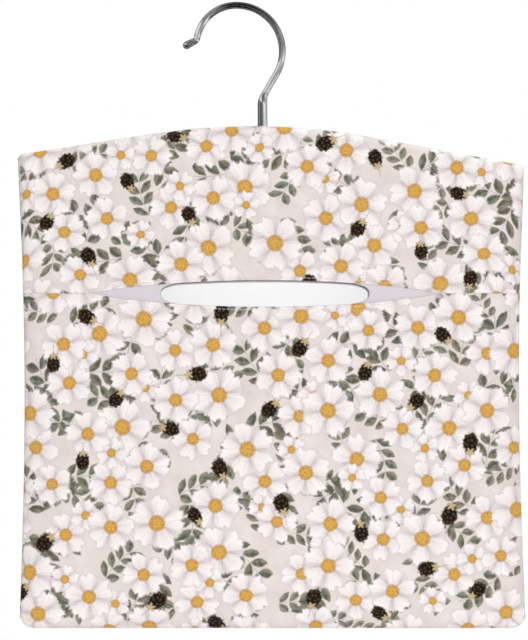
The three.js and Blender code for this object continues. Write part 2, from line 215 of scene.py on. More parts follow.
def sheet_mesh(name: str, points: Grid, flat: Grid, looped: bool = False) -> Piece:
    """Makes one skin of cloth from rows of points, with its flat pattern as a UV map.

    Args:
        name: The piece's name.
        points: Points in metres, rows by columns by 3.
        flat: Where each point lies on the flat cloth in metres, rows by columns by 2.
        looped: Whether the last column joins the first.

    Returns:
        The new object.
    """
    rows, columns = points.shape[:2]
    last = columns if looped else columns - 1
    low, left = np.mgrid[0 : rows - 1, 0:last].reshape(2, -1)
    high, right = low + 1, (left + 1) % columns
    corners = ((low, left), (high, left), (high, right), (low, right))
    faces = np.stack([row * columns + column for row, column in corners], 1)
    mesh = bpy.data.meshes.new(name)
    mesh.from_pydata(points.reshape(-1, 3).tolist(), [], faces.tolist())
    order = np.zeros(len(mesh.loops), int)
    mesh.loops.foreach_get("vertex_index", order)
    mesh.uv_layers.new(name="cloth").data.foreach_set("uv", flat.reshape(-1, 2)[order].ravel())
    piece = bpy.data.objects.new(name, mesh)
    bpy.context.scene.collection.objects.link(piece)
    return piece


def thicken(piece: Piece, cloth: float, finishes: Iterable[Material]) -> None:
    """Gives a skin of cloth its thickness, inwards, and its finishes.

    Args:
        piece: The skin, with its faces outwards.
        cloth: The thickness in metres.
        finishes: The outer material, then that of the reverse.
    """
    for finish in finishes:
        piece.data.materials.append(finish)
    select_only(piece)
    wall = piece.modifiers.new("wall", "SOLIDIFY")
    wall.thickness = cloth
    wall.offset = -1
    wall.use_quality_normals = True
    wall.material_offset = 1
    wall.material_offset_rim = 0
    bpy.ops.object.modifier_apply(modifier=wall.name)
    bpy.ops.object.shade_smooth()


def mount_piece(piece: Piece, body: Body, slot: Slot, *nodes: str) -> None:
    """Makes a piece ride on its body, and hides the CAD nodes that it stands for.

    Args:
        piece: The piece.
        body: The CAD body that it moves with.
        slot: The record's material slot; not used.
        nodes: The CAD nodes that it replaces.
    """
    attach(piece, body.value)
    if nodes:
        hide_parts(*nodes)
    LOG.info("%s rides on %s, %d faces", piece.name, body.value, len(piece.data.polygons))


def smooth(values: Grid, start: float, end: float) -> Grid:
    """An even rise from 0 at start to 1 at end, without corners."""
    share = np.clip((values - start) / (end - start), 0, 1)
    return share * share * (3 - 2 * share)


def run_lengths(points: Grid, axis: int) -> Grid:
    """Measures lengths along rows of points.

    Args:
        points: Points, with their coordinates on the last axis.
        axis: The axis that the rows run along.

    Returns:
        The length up to each point, from 0 at the first.
    """
    lengths = np.linalg.norm(np.diff(points, axis=axis), axis=-1).cumsum(axis)
    first = np.zeros_like(np.take(lengths, [0], axis))
    return np.concatenate([first, lengths], axis)


@dataclass(frozen=True)
class Fold:
    """A soft unevenness of the cloth: its height and the size of its waves. Metres."""

    height: float
    wide: float
    tall: float
    seed: float = 0.0

    def at(self, x: Grid, z: Grid, seed: float) -> Grid:
        """Works out the unevenness over the cloth from noise.

        Args:
            x: Places across.
            z: Places up.
            seed: The sheet's seed, to which the fold adds its own.

        Returns:
            How far the cloth stands out at each place.
        """
        spots = np.stack(np.broadcast_arrays(x / self.wide, z / self.tall), -1).reshape(-1, 2)
        # The noise seldom passes a half, so twice its value fills the height.
        values = [2 * noise.noise(Vector((a, b, seed + self.seed))) for a, b in spots]
        return self.height * np.array(values).reshape(np.broadcast(x, z).shape)


@dataclass(frozen=True)
class Motif:
    """A small drawing that is scattered over the printed cloth. Sizes are in millimetres.

    Its middles lie near the points of a square lattice, whose start is counted in spacings. A share
    of the points hold one, at a size between two factors, and its edges are a little soft.
    """

    start: tuple[float, float]
    spacing: float = 43.0
    scatter: float = 0.45
    share: float = 1.0
    sizes: tuple[float, float] = (0.9, 1.1)
    soft: float = 0.9

    def sow(self, tree: Tree, cloth: Node) -> tuple[Node, Socket, Node]:
        """Scatters the motif's middles over the cloth.

        Args:
            tree: The material's nodes.
            cloth: The place on the cloth in millimetres.

        Returns:
            The place from the nearest middle, turned and sized; a chance that goes with its size;
            and whether that middle holds a motif.
        """
        start = (self.start[0] * self.spacing, self.start[1] * self.spacing, 0)
        moved = add(tree, "VectorMath", {0: cloth, 1: start}, operation="ADD")
        lattice = {"Vector": moved, "Scale": 1 / self.spacing, "Randomness": self.scatter}
        cells = add(tree, "TexVoronoi", lattice, voronoi_dimensions="2D")
        turn, luck, pick = add(tree, "SeparateColor", {0: cells.outputs["Color"]}).outputs
        away = add(tree, "VectorMath", {0: moved, 1: cells.outputs["Position"]}, operation="SUBTRACT")
        angle = add(tree, "Math", {0: turn, 1: math.tau}, operation="MULTIPLY")
        turned = add(tree, "VectorRotate", {"Vector": away, "Angle": angle}, rotation_type="Z_AXIS")
        small, large = self.sizes
        size = add(tree, "MapRange", {"Value": luck, "To Min": 1 / large, "To Max": 1 / small})
        place = add(tree, "VectorMath", {0: turned, "Scale": size}, operation="SCALE")
        held = add(tree, "Math", {0: pick, 1: self.share}, operation="LESS_THAN")
        return place, luck, held

    def sector(self, tree: Tree, place: Node, rays: int) -> Node:
        """Finds where a place lies between the rays of a star.

        Args:
            tree: The material's nodes.
            place: The place from the star's middle.
            rays: How many rays it has.

        Returns:
            From 0 on a ray to 1 midway between two.
        """
        part = add(tree, "SeparateXYZ", {0: place})
        angle = add(tree, "Math", {0: part.outputs[1], 1: part.outputs[0]}, operation="ARCTAN2")
        turns = add(tree, "Math", {0: angle, 1: 2 * rays / math.tau}, operation="MULTIPLY")
        return add(tree, "Math", {0: turns, 1: 1.0}, operation="PINGPONG")

    def inked(self, tree: Tree, margin: Node) -> Node:
        """The share of ink where a shape reaches margin millimetres past a place."""
        return add(tree, "MapRange", {"Value": margin, "From Min": 0.0, "From Max": self.soft})

    def paint(self, tree: Tree, place: Node, luck: Socket) -> tuple[Node, Node]:
        """Paints one motif.

        Args:
            tree: The material's nodes.
            place: The place from the motif's middle.
            luck: A chance of its own, from 0 to 1.

        Returns:
            Its colour, and its share of ink.
        """
        raise NotImplementedError

    def draw(self, tree: Tree, cloth: Node) -> tuple[Node, Node]:
        """Draws the motif all over the cloth.

        Args:
            tree: The material's nodes.
            cloth: The place on the cloth in millimetres.

        Returns:
            Its colour, and how much of it covers what is under it.
        """
        place, luck, held = self.sow(tree, cloth)
        colour, ink = self.paint(tree, place, luck)
        return colour, add(tree, "Math", {0: ink, 1: held}, operation="MULTIPLY")


@dataclass(frozen=True)
class Blossom(Motif):
    """A white bramble flower: five broad petals over five more, round an ochre middle."""

    soft: float = 1.5
    # The petals: their reach, what shapes their edge, as shares of the reach and as powers, the
    # length of a frill along the edge, and the width of its outline.
    petals: int = 5
    reach: float = 16.8
    lower_row: float = 0.94
    waist: float = 0.34
    breadth: float = 3.0
    notch: float = 0.09
    notch_edge: float = 7.0
    ruffle: float = 0.3
    frill: float = 6.46
    outline: float = 0.5
    # Their shading: at the throat and at the tips, towards their sides, and in veins, which have
    # a contrast, a lift and a distance apart at the tips.
    throat: tuple[float, float] = (0.9, 0.1)
    throat_end: float = 0.95
    rim: float = 3.5
    vein: tuple[float, float] = (1.3, -0.3)
    vein_step: float = 1.292
    # The middle: its florets, its darker edge, and the stamens round it.
    middle: float = 5.6
    floret: float = 1.6
    floret_shade: float = 0.7
    edge_start: float = 0.4
    edge_shade: float = 0.45
    stamen_ring: float = 1.42
    stamen: tuple[float, float] = (-2.2, 0.75)
    petal: str = "#f0eae9"
    shade: str = "#c5b9ba"
    back: str = "#dfd6d6"
    line: str = "#c6bdbe"
    ochre: str = "#deae56"
    umber: str = "#986b36"

    def petal_row(self, tree: Tree, side: Node, away: Node, reach: float) -> Node:
        """One row of petals.

        Args:
            tree: The material's nodes.
            side: From 0 on a petal's midline to 1 between two petals.
            away: Distance from the flower's middle.
            reach: Length of the petals from the flower's middle.

        Returns:
            How far the petals reach past a place.
        """
        power = add(tree, "Math", {0: side, 1: self.breadth}, operation="POWER")
        rest = add(tree, "Math", {0: 1.0, 1: power}, operation="SUBTRACT")
        lobe = add(tree, "Math", {0: rest}, operation="SQRT")
        waist = self.waist * reach
        edge = add(tree, "Math", {0: lobe, 1: reach - waist, 2: waist}, operation="MULTIPLY_ADD")
        inner = add(tree, "Math", {0: 1.0, 1: side}, operation="SUBTRACT")
        dip = add(tree, "Math", {0: inner, 1: self.notch_edge}, operation="POWER")
        tip = add(tree, "Math", {0: dip, 1: -self.notch * reach, 2: edge}, operation="MULTIPLY_ADD")
        return add(tree, "Math", {0: tip, 1: away}, operation="SUBTRACT")

    def shade_petals(self, tree: Tree, side: Node, away: Node, heading: Node) -> tuple[Node, Node]:
        """Shades the petals: darker towards the throat and the sides, with fine veins along them.

        Args:
            tree: The material's nodes.
            side: From 0 on a petal's midline to 1 between two petals.
            away: Distance from the flower's middle.
            heading: The way from the flower's middle.

        Returns:
            The colours of the upper and of the lower row.
        """
        near, far = self.throat
        span = {"From Min": self.middle, "From Max": self.throat_end * self.reach}
        throat = add(tree, "MapRange", {"Value": away, **span, "To Min": near, "To Max": far})
        rim = add(tree, "Math", {0: side, 1: self.rim}, operation="POWER")
        fine = {"Vector": heading, "Scale": self.reach / self.vein_step, "Detail": 1.0}
        veins = add(tree, "TexNoise", fine, noise_dimensions="2D")
        contrast, lift = self.vein
        dark = add(tree, "Math", {0: veins, 1: contrast, 2: lift}, operation="MULTIPLY_ADD")
        tone = add(tree, "Math", {0: throat, 1: dark, 2: rim}, operation="MULTIPLY_ADD", use_clamp=True)
        shade = linear(self.shade)
        upper = add(tree, "Mix", {SHARE: tone, UNDER: linear(self.petal), OVER: shade}, data_type="RGBA")
        lower = add(tree, "Mix", {SHARE: throat, UNDER: linear(self.back), OVER: shade}, data_type="RGBA")
        return upper, lower

    def draw_middle(self, tree: Tree, place: Node, away: Node) -> tuple[Node, Node]:
        """Draws the middle: a cushion of tiny florets, with a ring of loose stamens round it.

        Args:
            tree: The material's nodes.
            place: The place from the flower's middle.
            away: Distance from the flower's middle.

        Returns:
            The middle's colour and its share of ink.
        """
        florets = {"Vector": place, "Scale": 1 / self.floret}
        grain = add(tree, "TexVoronoi", florets, voronoi_dimensions="2D").outputs["Distance"]
        span = {"From Min": self.edge_start * self.middle, "From Max": self.middle}
        edge = add(tree, "MapRange", {"Value": away, **span, "To Min": 0.0, "To Max": self.edge_shade})
        tone = add(tree, "Math", {0: grain, 1: self.floret_shade, 2: edge}, operation="MULTIPLY_ADD")
        tones = {UNDER: linear(self.ochre), OVER: linear(self.umber)}
        ochre = add(tree, "Mix", {SHARE: tone, **tones}, data_type="RGBA")
        cushion = add(tree, "Math", {0: self.middle, 1: away}, operation="SUBTRACT")
        ring = add(tree, "Math", {0: self.stamen_ring * self.middle, 1: away}, operation="SUBTRACT")
        shrink, size = self.stamen
        speck = add(tree, "Math", {0: grain, 1: shrink, 2: size}, operation="MULTIPLY_ADD")
        stamens = add(tree, "Math", {0: ring, 1: speck}, operation="MINIMUM")
        gold = add(tree, "Math", {0: cushion, 1: stamens}, operation="MAXIMUM")
        return ochre, self.inked(tree, gold)

    def paint(self, tree: Tree, place: Node, luck: Socket) -> tuple[Node, Node]:
        """Paints the two rows of petals with their outline, and the middle over them.

        Args:
            tree: The material's nodes.
            place: The place from the flower's middle.
            luck: A chance of its own, from 0 to 1.

        Returns:
            Its colour, and its share of ink.
        """
        away = add(tree, "VectorMath", {0: place}, operation="LENGTH")
        side = self.sector(tree, place, self.petals)
        between = add(tree, "Math", {0: 1.0, 1: side}, operation="SUBTRACT")
        heading = add(tree, "VectorMath", {0: place}, operation="NORMALIZE")
        coarse = {"Vector": heading, "Scale": self.reach / self.frill, "Detail": 5.0, "Roughness": 0.65}
        wave = add(tree, "TexNoise", coarse, noise_dimensions="2D")
        limits = {"To Min": 1 - self.ruffle, "To Max": 1 + self.ruffle}
        frill = add(tree, "MapRange", {"Value": wave, **limits})
        ragged = add(tree, "Math", {0: away, 1: frill}, operation="MULTIPLY")
        upper = self.petal_row(tree, side, ragged, self.reach)
        lower = self.petal_row(tree, between, ragged, self.lower_row * self.reach)
        both = add(tree, "Math", {0: upper, 1: lower}, operation="MAXIMUM")
        wider = add(tree, "Math", {0: both, 1: self.outline}, operation="ADD")
        front, whole, drawn = (self.inked(tree, margin) for margin in (upper, both, wider))

        above, below = self.shade_petals(tree, side, away, heading)
        rows = add(tree, "Mix", {SHARE: front, UNDER: below, OVER: above}, data_type="RGBA")
        petals = add(tree, "Mix", {SHARE: whole, UNDER: linear(self.line), OVER: rows}, data_type="RGBA")
        ochre, disc = self.draw_middle(tree, place, away)
        flower = add(tree, "Mix", {SHARE: disc, UNDER: petals, OVER: ochre}, data_type="RGBA")
        return flower, drawn


@dataclass(frozen=True)
class Sprig(Motif):
    """A bowed stem with pairs of pointed leaflets."""

    length: float = 28.0
    pitch: float = 7.0
    leaflet: float = 10.6
    breadth: float = 2.9
    lean: float = math.radians(48)
    bow: float = 0.012
    stem: float = 0.42
    midrib: float = 0.3
    wash: float = 3.4
    # How much lighter a leaflet's lit half, a pale sprig and a pool of paint are.
    lit: float = 0.45
    pale: float = 0.45
    pool: float = 0.35
    leaf: str = "#57584a"
    light: str = "#8f8e7c"

    def paint(self, tree: Tree, place: Node, luck: Socket) -> tuple[Node, Node]:
        """Paints the stem and its leaflets.

        Args:
            tree: The material's nodes.
            place: The place from the sprig's middle.
            luck: A chance of its own, from 0 to 1.

        Returns:
            Its colour, and its share of ink.
        """
        run, rise, _ = add(tree, "SeparateXYZ", {0: place}).outputs
        square = add(tree, "Math", {0: run, 1: run}, operation="MULTIPLY")
        across = add(tree, "Math", {0: square, 1: self.bow, 2: rise}, operation="MULTIPLY_ADD")
        aside = add(tree, "Math", {0: across}, operation="ABSOLUTE")
        along = add(tree, "Math", {0: run, 1: self.length}, operation="ADD")
        step = add(tree, "Math", {0: along, 1: self.pitch}, operation="FLOORED_MODULO")
        joint = add(tree, "CombineXYZ", {0: step, 1: aside})
        turned = add(tree, "VectorRotate", {"Vector": joint, "Angle": -self.lean}, rotation_type="Z_AXIS")
        blade, half, _ = add(tree, "SeparateXYZ", {0: turned}).outputs
        share = add(tree, "Math", {0: blade, 1: 2 / self.leaflet, 2: -1.0}, operation="MULTIPLY_ADD")
        bulge = add(tree, "Math", {0: share, 1: share}, operation="MULTIPLY")
        wide = add(tree, "Math", {0: bulge, 1: -self.breadth, 2: self.breadth}, operation="MULTIPLY_ADD")
        off = add(tree, "Math", {0: half}, operation="ABSOLUTE")
        leaf = add(tree, "Math", {0: wide, 1: off}, operation="SUBTRACT")
        reach = add(tree, "Math", {0: run}, operation="ABSOLUTE")
        ends = add(tree, "Math", {0: self.length / 2, 1: reach}, operation="SUBTRACT")
        leaves = add(tree, "Math", {0: leaf, 1: ends}, operation="MINIMUM")
        bare = add(tree, "Math", {0: self.stem, 1: aside}, operation="SUBTRACT")
        stem = add(tree, "Math", {0: bare, 1: ends}, operation="MINIMUM")
        margin = add(tree, "Math", {0: leaves, 1: stem}, operation="MAXIMUM")

        # One half of each leaflet catches more light, and no two sprigs have quite the same green.
        ridge = {"From Min": -self.midrib, "From Max": self.midrib}
        lit = add(tree, "MapRange", {"Value": half, **ridge, "To Max": self.lit})
        own = add(tree, "Math", {0: luck, 1: self.pale, 2: lit}, operation="MULTIPLY_ADD")
        brush = {"Vector": place, "Scale": 1 / self.wash, "Detail": 3.0}
        wash = add(tree, "TexNoise", brush, noise_dimensions="2D")
        pools = {"To Min": -self.pool, "To Max": self.pool}
        pool = add(tree, "MapRange", {"Value": wash, **NOISE_RANGE, **pools})
        tone = add(tree, "Math", {0: own, 1: pool}, operation="ADD", use_clamp=True)
        greens = {UNDER: linear(self.leaf), OVER: linear(self.light)}
        colour = add(tree, "Mix", {SHARE: tone, **greens}, data_type="RGBA")
        return colour, self.inked(tree, margin)


@dataclass(frozen=True)
class Bramble(Motif):
    """A dark bramble berry of many drupelets, with a tan calyx and a short stalk."""

    length: float = 6.4
    breadth: float = 4.9
    drupelet: float = 2.3
    knob: float = 0.5
    knob_dip: float = 1.5
    # Where a drupelet's glint starts to fade and ends, from its middle, and how bright it is.
    glint: tuple[float, float] = (0.08, 0.42)
    glint_light: float = 0.6
    calyx: float = 3.3
    calyx_place: float = 0.8
    calyx_points: int = 5
    calyx_dip: float = 0.55
    stalk: float = 12.5
    thread: float = 0.45
    skin: str = "#17100c"
    shine: str = "#6f5238"
    cap: str = "#bea57d"
    twig: str = "#66705a"

    def draw_berry(self, tree: Tree, place: Node) -> tuple[Node, Node]:
        """Draws the berry: an oval whose edge is knobbly with drupelets.

        Args:
            tree: The material's nodes.
            place: The place from the berry's middle.

        Returns:
            The berry's colour and its share of ink.
        """
        drupelets = {"Vector": place, "Scale": 1 / self.drupelet, "Randomness": 0.7}
        grain = add(tree, "TexVoronoi", drupelets, voronoi_dimensions="2D").outputs["Distance"]
        shape = (self.breadth / self.length, 1, 1)
        oval = add(tree, "VectorMath", {0: place, 1: shape}, operation="MULTIPLY")
        away = add(tree, "VectorMath", {0: oval}, operation="LENGTH")
        knobs = {0: grain, 1: -self.knob_dip, 2: self.breadth + self.knob}
        rough = add(tree, "Math", knobs, operation="MULTIPLY_ADD")
        margin = add(tree, "Math", {0: rough, 1: away}, operation="SUBTRACT")
        near, far = self.glint
        glint = {"From Min": near, "From Max": far, "To Min": self.glint_light, "To Max": 0.0}
        lit = add(tree, "MapRange", {"Value": grain, **glint})
        tones = {UNDER: linear(self.skin), OVER: linear(self.shine)}
        fruit = add(tree, "Mix", {SHARE: lit, **tones}, data_type="RGBA")
        return fruit, self.inked(tree, margin)

    def paint(self, tree: Tree, place: Node, luck: Socket) -> tuple[Node, Node]:
        """Paints the stalk, the berry over it and the star of the calyx over both.

        Args:
            tree: The material's nodes.
            place: The place from the berry's middle.
            luck: A chance of its own, from 0 to 1.

        Returns:
            Its colour, and its share of ink.
        """
        run, rise, _ = add(tree, "SeparateXYZ", {0: place}).outputs
        fruit, berry = self.draw_berry(tree, place)

        calyx_end = (self.calyx_place * self.length, 0, 0)
        out = add(tree, "VectorMath", {0: place, 1: calyx_end}, operation="SUBTRACT")
        point = self.sector(tree, out, self.calyx_points)
        points = {0: point, 1: -self.calyx_dip * self.calyx, 2: self.calyx}
        reach = add(tree, "Math", points, operation="MULTIPLY_ADD")
        far = add(tree, "VectorMath", {0: out}, operation="LENGTH")
        leafy = add(tree, "Math", {0: reach, 1: far}, operation="SUBTRACT")
        calyx = self.inked(tree, leafy)

        aside = add(tree, "Math", {0: rise}, operation="ABSOLUTE")
        thin = add(tree, "Math", {0: self.thread, 1: aside}, operation="SUBTRACT")
        end = add(tree, "Math", {0: self.stalk, 1: run}, operation="SUBTRACT")
        length = add(tree, "Math", {0: end, 1: run}, operation="MINIMUM")
        twig = add(tree, "Math", {0: thin, 1: length}, operation="MINIMUM")
        stalk = self.inked(tree, twig)

        colour = add(tree, "Mix", {SHARE: berry, UNDER: linear(self.twig), OVER: fruit}, data_type="RGBA")
        capped = add(tree, "Mix", {SHARE: calyx, UNDER: colour, OVER: linear(self.cap)}, data_type="RGBA")
        both = add(tree, "Math", {0: berry, 1: stalk}, operation="MAXIMUM")
        return capped, add(tree, "Math", {0: both, 1: calyx}, operation="MAXIMUM")


@dataclass(frozen=True)
class Weave:
    """The threads of a plain weave. Sizes are in millimetres."""

    # Real threads lie 0.4 mm apart, too fine to show, so they are drawn 1.4 mm apart.
    pitch: float = 1.4
    relief: float = 0.12
    strength: float = 0.2
    crossing: float = 0.5
    slub: float = 9.0
    hollow_rough: float = 0.92
    thread_rough: float = 0.8

    def cloth(self, tree: Tree) -> Node:
        """The place on the flat cloth in millimetres, from the piece's own UV map."""
        flat = add(tree, "UVMap", uv_map="cloth")
        return add(tree, "VectorMath", {0: flat, "Scale": 1 / MM}, operation="SCALE")

    def threads(self, tree: Tree, cloth: Node) -> Node:
        """Lays warp and weft over each other, with slubs where the yarn is thicker.

        Args:
            tree: The material's nodes.
            cloth: The place on the cloth in millimetres.

        Returns:
            The height of the threads, from about 0 to 1.
        """
        waves = []
        for way in add(tree, "SeparateXYZ", {0: cloth}).outputs[:2]:
            turn = add(tree, "Math", {0: way, 1: math.pi / self.pitch}, operation="MULTIPLY")
            waves.append(add(tree, "Math", {0: turn}, operation="SINE"))
        over = add(tree, "Math", dict(enumerate(waves)), operation="MULTIPLY")
        yarn = {"Vector": cloth, "Scale": 1 / self.slub, "Detail": 4.0}
        thick = add(tree, "TexNoise", yarn, noise_dimensions="2D")
        return add(tree, "Math", {0: over, 1: self.crossing, 2: thick}, operation="MULTIPLY_ADD")

    def raise_threads(self, tree: Tree, shader: Node, height: Node) -> None:
        """Gives a shader the relief and the uneven roughness of the threads.

        Args:
            tree: The material's nodes.
            shader: The material's shader.
            height: The height of the threads.
        """
        relief = {"Strength": self.strength, "Distance": self.relief * MM}
        bump = add(tree, "Bump", {**relief, "Height": height})
        limits = {"To Min": self.hollow_rough, "To Max": self.thread_rough}
        rough = add(tree, "MapRange", {"Value": height, **limits})
        put(tree, shader, {"Normal": bump, "Roughness": rough})


@dataclass(frozen=True)
class PrintedCotton:
    """Plain-weave cotton, printed on one side: matt and dry, with a faint bloom at grazing angles."""

    ground: str = "#cdc1bd"
    haze: str = "#e6ddda"
    weave: Weave = Weave()
    # Cloudiness of the ground, and how dark the painted shade in the hollows between threads is.
    cloud: float = 14.0
    hollow: float = 0.985
    slant: float = math.radians(27)
    # The brush's unsteadiness: how far edges wander, and over what distance, in millimetres.
    wander: float = 0.9
    stroke: float = 2.8
    motifs: tuple[Motif, ...] = (
        Sprig(start=(31.5, 40.0), sizes=(0.9, 1.2)),
        Sprig(start=(50.0, 61.5), sizes=(0.9, 1.2)),
        Sprig(start=(12.0, 83.0), sizes=(0.8, 1.1)),
        Blossom(start=(20.5, 11.5), scatter=0.32, sizes=(0.78, 1.04)),
        Blossom(start=(44.5, 25.0), scatter=0.4, share=0.6, sizes=(0.5, 0.62)),
        Blossom(start=(3.0, 5.0), scatter=0.32, sizes=(0.76, 1.04)),
        Bramble(start=(70.0, 81.5), scatter=0.36, share=0.66, sizes=(0.95, 1.15)),
    )

    def material(self) -> Material:
        """Builds the material: the ground, then each motif over the last, then the threads, with painted
        shade in their hollows.

        Returns:
            The material.
        """
        material, tree, shader = new_material(
            "cotton_printed", IOR=1.5, Sheen_Weight=0.12, Sheen_Roughness=0.5, Specular_IOR_Level=0.25
        )
        cloth = self.weave.cloth(tree)
        clouds = {"Vector": cloth, "Scale": 1 / self.cloud, "Detail": 3.0}
        mottle = add(tree, "TexNoise", clouds, noise_dimensions="2D")
        grounds = {UNDER: linear(self.ground), OVER: linear(self.haze)}
        colour = add(tree, "Mix", {SHARE: mottle, **grounds}, data_type="RGBA")
        strokes = {"Vector": cloth, "Scale": 1 / self.stroke, "Detail": 2.0}
        brush = add(tree, "TexNoise", strokes, noise_dimensions="2D").outputs["Color"]
        reach = (self.wander, self.wander, 0)
        led = add(tree, "VectorMath", {0: brush, 1: reach, 2: cloth}, operation="MULTIPLY_ADD")
        sown = add(tree, "VectorRotate", {"Vector": led, "Angle": self.slant}, rotation_type="Z_AXIS")
        for motif in self.motifs:
            ink, cover = motif.draw(tree, sown)
            colour = add(tree, "Mix", {SHARE: cover, UNDER: colour, OVER: ink}, data_type="RGBA")
        height = self.weave.threads(tree, cloth)
        # Painted shade: the colour is darkened in the hollows between the threads.
        shade = add(tree, "MapRange", {"Value": height, "To Min": self.hollow, "To Max": 1.0})
        layers = {SHARE: 1.0, UNDER: colour, OVER: shade}
        thread_shaded = add(tree, "Mix", layers, data_type="RGBA", blend_type="MULTIPLY")
        put(tree, shader, {"Base Color": thread_shaded})
        self.weave.raise_threads(tree, shader, height)
        return material


@dataclass(frozen=True)
class PlainCotton:
    """Undyed or bleached plain-weave cotton: matt, with the shadow of its threads."""

    name: str
    colour: str
    hollow: str
    weave: Weave = Weave(strength=0.06)

    def material(self) -> Material:
        """Builds the material.

        Returns:
            The material.
        """
        material, tree, shader = new_material(
            self.name, IOR=1.5, Sheen_Weight=0.1, Sheen_Roughness=0.5, Specular_IOR_Level=0.25
        )
        height = self.weave.threads(tree, self.weave.cloth(tree))
        tones = {UNDER: linear(self.hollow), OVER: linear(self.colour)}
        put(tree, shader, {"Base Color": add(tree, "Mix", {SHARE: height, **tones}, data_type="RGBA")})
        self.weave.raise_threads(tree, shader, height)
        return material


@dataclass(frozen=True)
class ChromePlate:
    """Bright chrome on drawn wire: a cool mirror with faint smears from handling."""

    colour: str = "#d2d3d6"
    smear: str = "#bfc0c4"
    smear_size: float = 9 * MM
    clean_rough: float = 0.05
    smear_rough: float = 0.13

    def material(self) -> Material:
        """Builds the material.

        Returns:
            The material.
        """
        material, tree, shader = new_material("chrome_plate_on_wire", Metallic=1.0)
        place = add(tree, "TexCoord").outputs["Object"]
        haze = add(tree, "TexNoise", {"Vector": place, "Scale": 1 / self.smear_size, "Detail": 4.0})
        limits = {"To Min": self.clean_rough, "To Max": self.smear_rough}
        rough = add(tree, "MapRange", {"Value": haze, **NOISE_RANGE, **limits})
        tones = {UNDER: linear(self.colour), OVER: linear(self.smear)}
        colour = add(tree, "Mix", {SHARE: haze, **tones}, data_type="RGBA")
        put(tree, shader, {"Base Color": colour, "Roughness": rough})
        return material


@dataclass(frozen=True)
class TurnedSteel:
    """Bright turned steel: grey metal with the fine rings that the tool left."""

    colour: str = "#9b9da0"
    groove: str = "#7c7e81"
    # Tool marks lie 0.1 mm apart, too fine to show, so they are drawn 0.5 mm apart.
    ring: float = 0.5 * MM
    groove_rough: float = 0.28
    ridge_rough: float = 0.42

    def material(self) -> Material:
        """Builds the material.

        Returns:
            The material.
        """
        material, tree, shader = new_material("turned_steel", Metallic=1.0)
        place = add(tree, "TexCoord").outputs["Object"]
        marks = {"Vector": place, "Scale": math.tau / (WAVE_TURN * self.ring), "Distortion": 0.4}
        rings = add(tree, "TexWave", marks, bands_direction="Z").outputs["Fac"]
        limits = {"To Min": self.groove_rough, "To Max": self.ridge_rough}
        rough = add(tree, "MapRange", {"Value": rings, **limits})
        tones = {UNDER: linear(self.groove), OVER: linear(self.colour)}
        colour = add(tree, "Mix", {SHARE: rings, **tones}, data_type="RGBA")
        put(tree, shader, {"Base Color": colour, "Roughness": rough})
        return material


@dataclass(frozen=True)
class Beech:
    """Sanded beech, lightly waxed: pinkish tan with straight grain and short dark flecks."""

    colour: str = "#d3a873"
    grain: str = "#b98654"
    fleck: str = "#8f5f37"
    # Sizes across the grain, and how much longer each is along it.
    ring: float = 5 * MM
    ring_stretch: float = 12.5
    fleck_size: float = 0.9 * MM
    fleck_stretch: float = 4.0
    fleck_depth: float = 0.1 * MM
    # The part of the noise that makes flecks, and how dark they are.
    fleck_cut: tuple[float, float] = (0.62, 0.72)
    fleck_shade: float = 0.6
    pale_rough: float = 0.45
    grain_rough: float = 0.62

    def material(self) -> Material:
        """Builds the material.

        Returns:
            The material.
        """
        material, tree, shader = new_material("beech", IOR=1.5, Coat_Weight=0.15, Coat_Roughness=0.4)
        place = add(tree, "TexCoord").outputs["Object"]
        drawn = add(tree, "Mapping", {"Vector": place, "Scale": (1 / self.ring_stretch, 1.0, 1.0)})
        growth = {"Vector": drawn, "Scale": 1 / self.ring, "Detail": 5.0, "Distortion": 0.6}
        rings = add(tree, "TexNoise", growth)
        woods = {UNDER: linear(self.colour), OVER: linear(self.grain)}
        wood = add(tree, "Mix", {SHARE: rings, **woods}, data_type="RGBA")
        short = add(tree, "Mapping", {"Vector": place, "Scale": (1 / self.fleck_stretch, 1.0, 1.0)})
        flecks = add(tree, "TexNoise", {"Vector": short, "Scale": 1 / self.fleck_size, "Detail": 2.0})
        start, full = self.fleck_cut
        cut = {"From Min": start, "From Max": full, "To Max": self.fleck_shade}
        thin = add(tree, "MapRange", {"Value": flecks, **cut})
        colour = add(tree, "Mix", {SHARE: thin, UNDER: wood, OVER: linear(self.fleck)}, data_type="RGBA")
        limits = {"To Min": self.pale_rough, "To Max": self.grain_rough}
        rough = add(tree, "MapRange", {"Value": rings, **limits})
        bump = add(tree, "Bump", {"Strength": 0.3, "Distance": self.fleck_depth, "Height": thin})
        put(tree, shader, {"Base Color": colour, "Roughness": rough, "Normal": bump})
        return material


@dataclass(frozen=True)
class SewingThread:
    """Spun polyester thread: off-white, matt, with the slant of its twist."""

    colour: str = "#e6dfdb"
    groove: str = "#cfc6c1"
    # Two plies turn round each other every 0.6 mm; drawn 1.2 mm long so that the slant shows.
    twist: float = 1.2 * MM
    groove_depth: float = 0.05 * MM

    def material(self) -> Material:
        """Builds the material.

        Returns:
            The material.
        """
        material, tree, shader = new_material("thread_spun", Roughness=0.75, Sheen_Weight=0.2)
        place = add(tree, "TexCoord").outputs["Object"]
        slants = {"Vector": place, "Scale": math.tau / (WAVE_TURN / 2 * self.twist)}
        plies = add(tree, "TexWave", slants, bands_direction="DIAGONAL").outputs["Fac"]
        tones = {UNDER: linear(self.groove), OVER: linear(self.colour)}
        colour = add(tree, "Mix", {SHARE: plies, **tones}, data_type="RGBA")
        bump = add(tree, "Bump", {"Strength": 0.3, "Distance": self.groove_depth, "Height": plies})
        put(tree, shader, {"Base Color": colour, "Normal": bump})
        return material


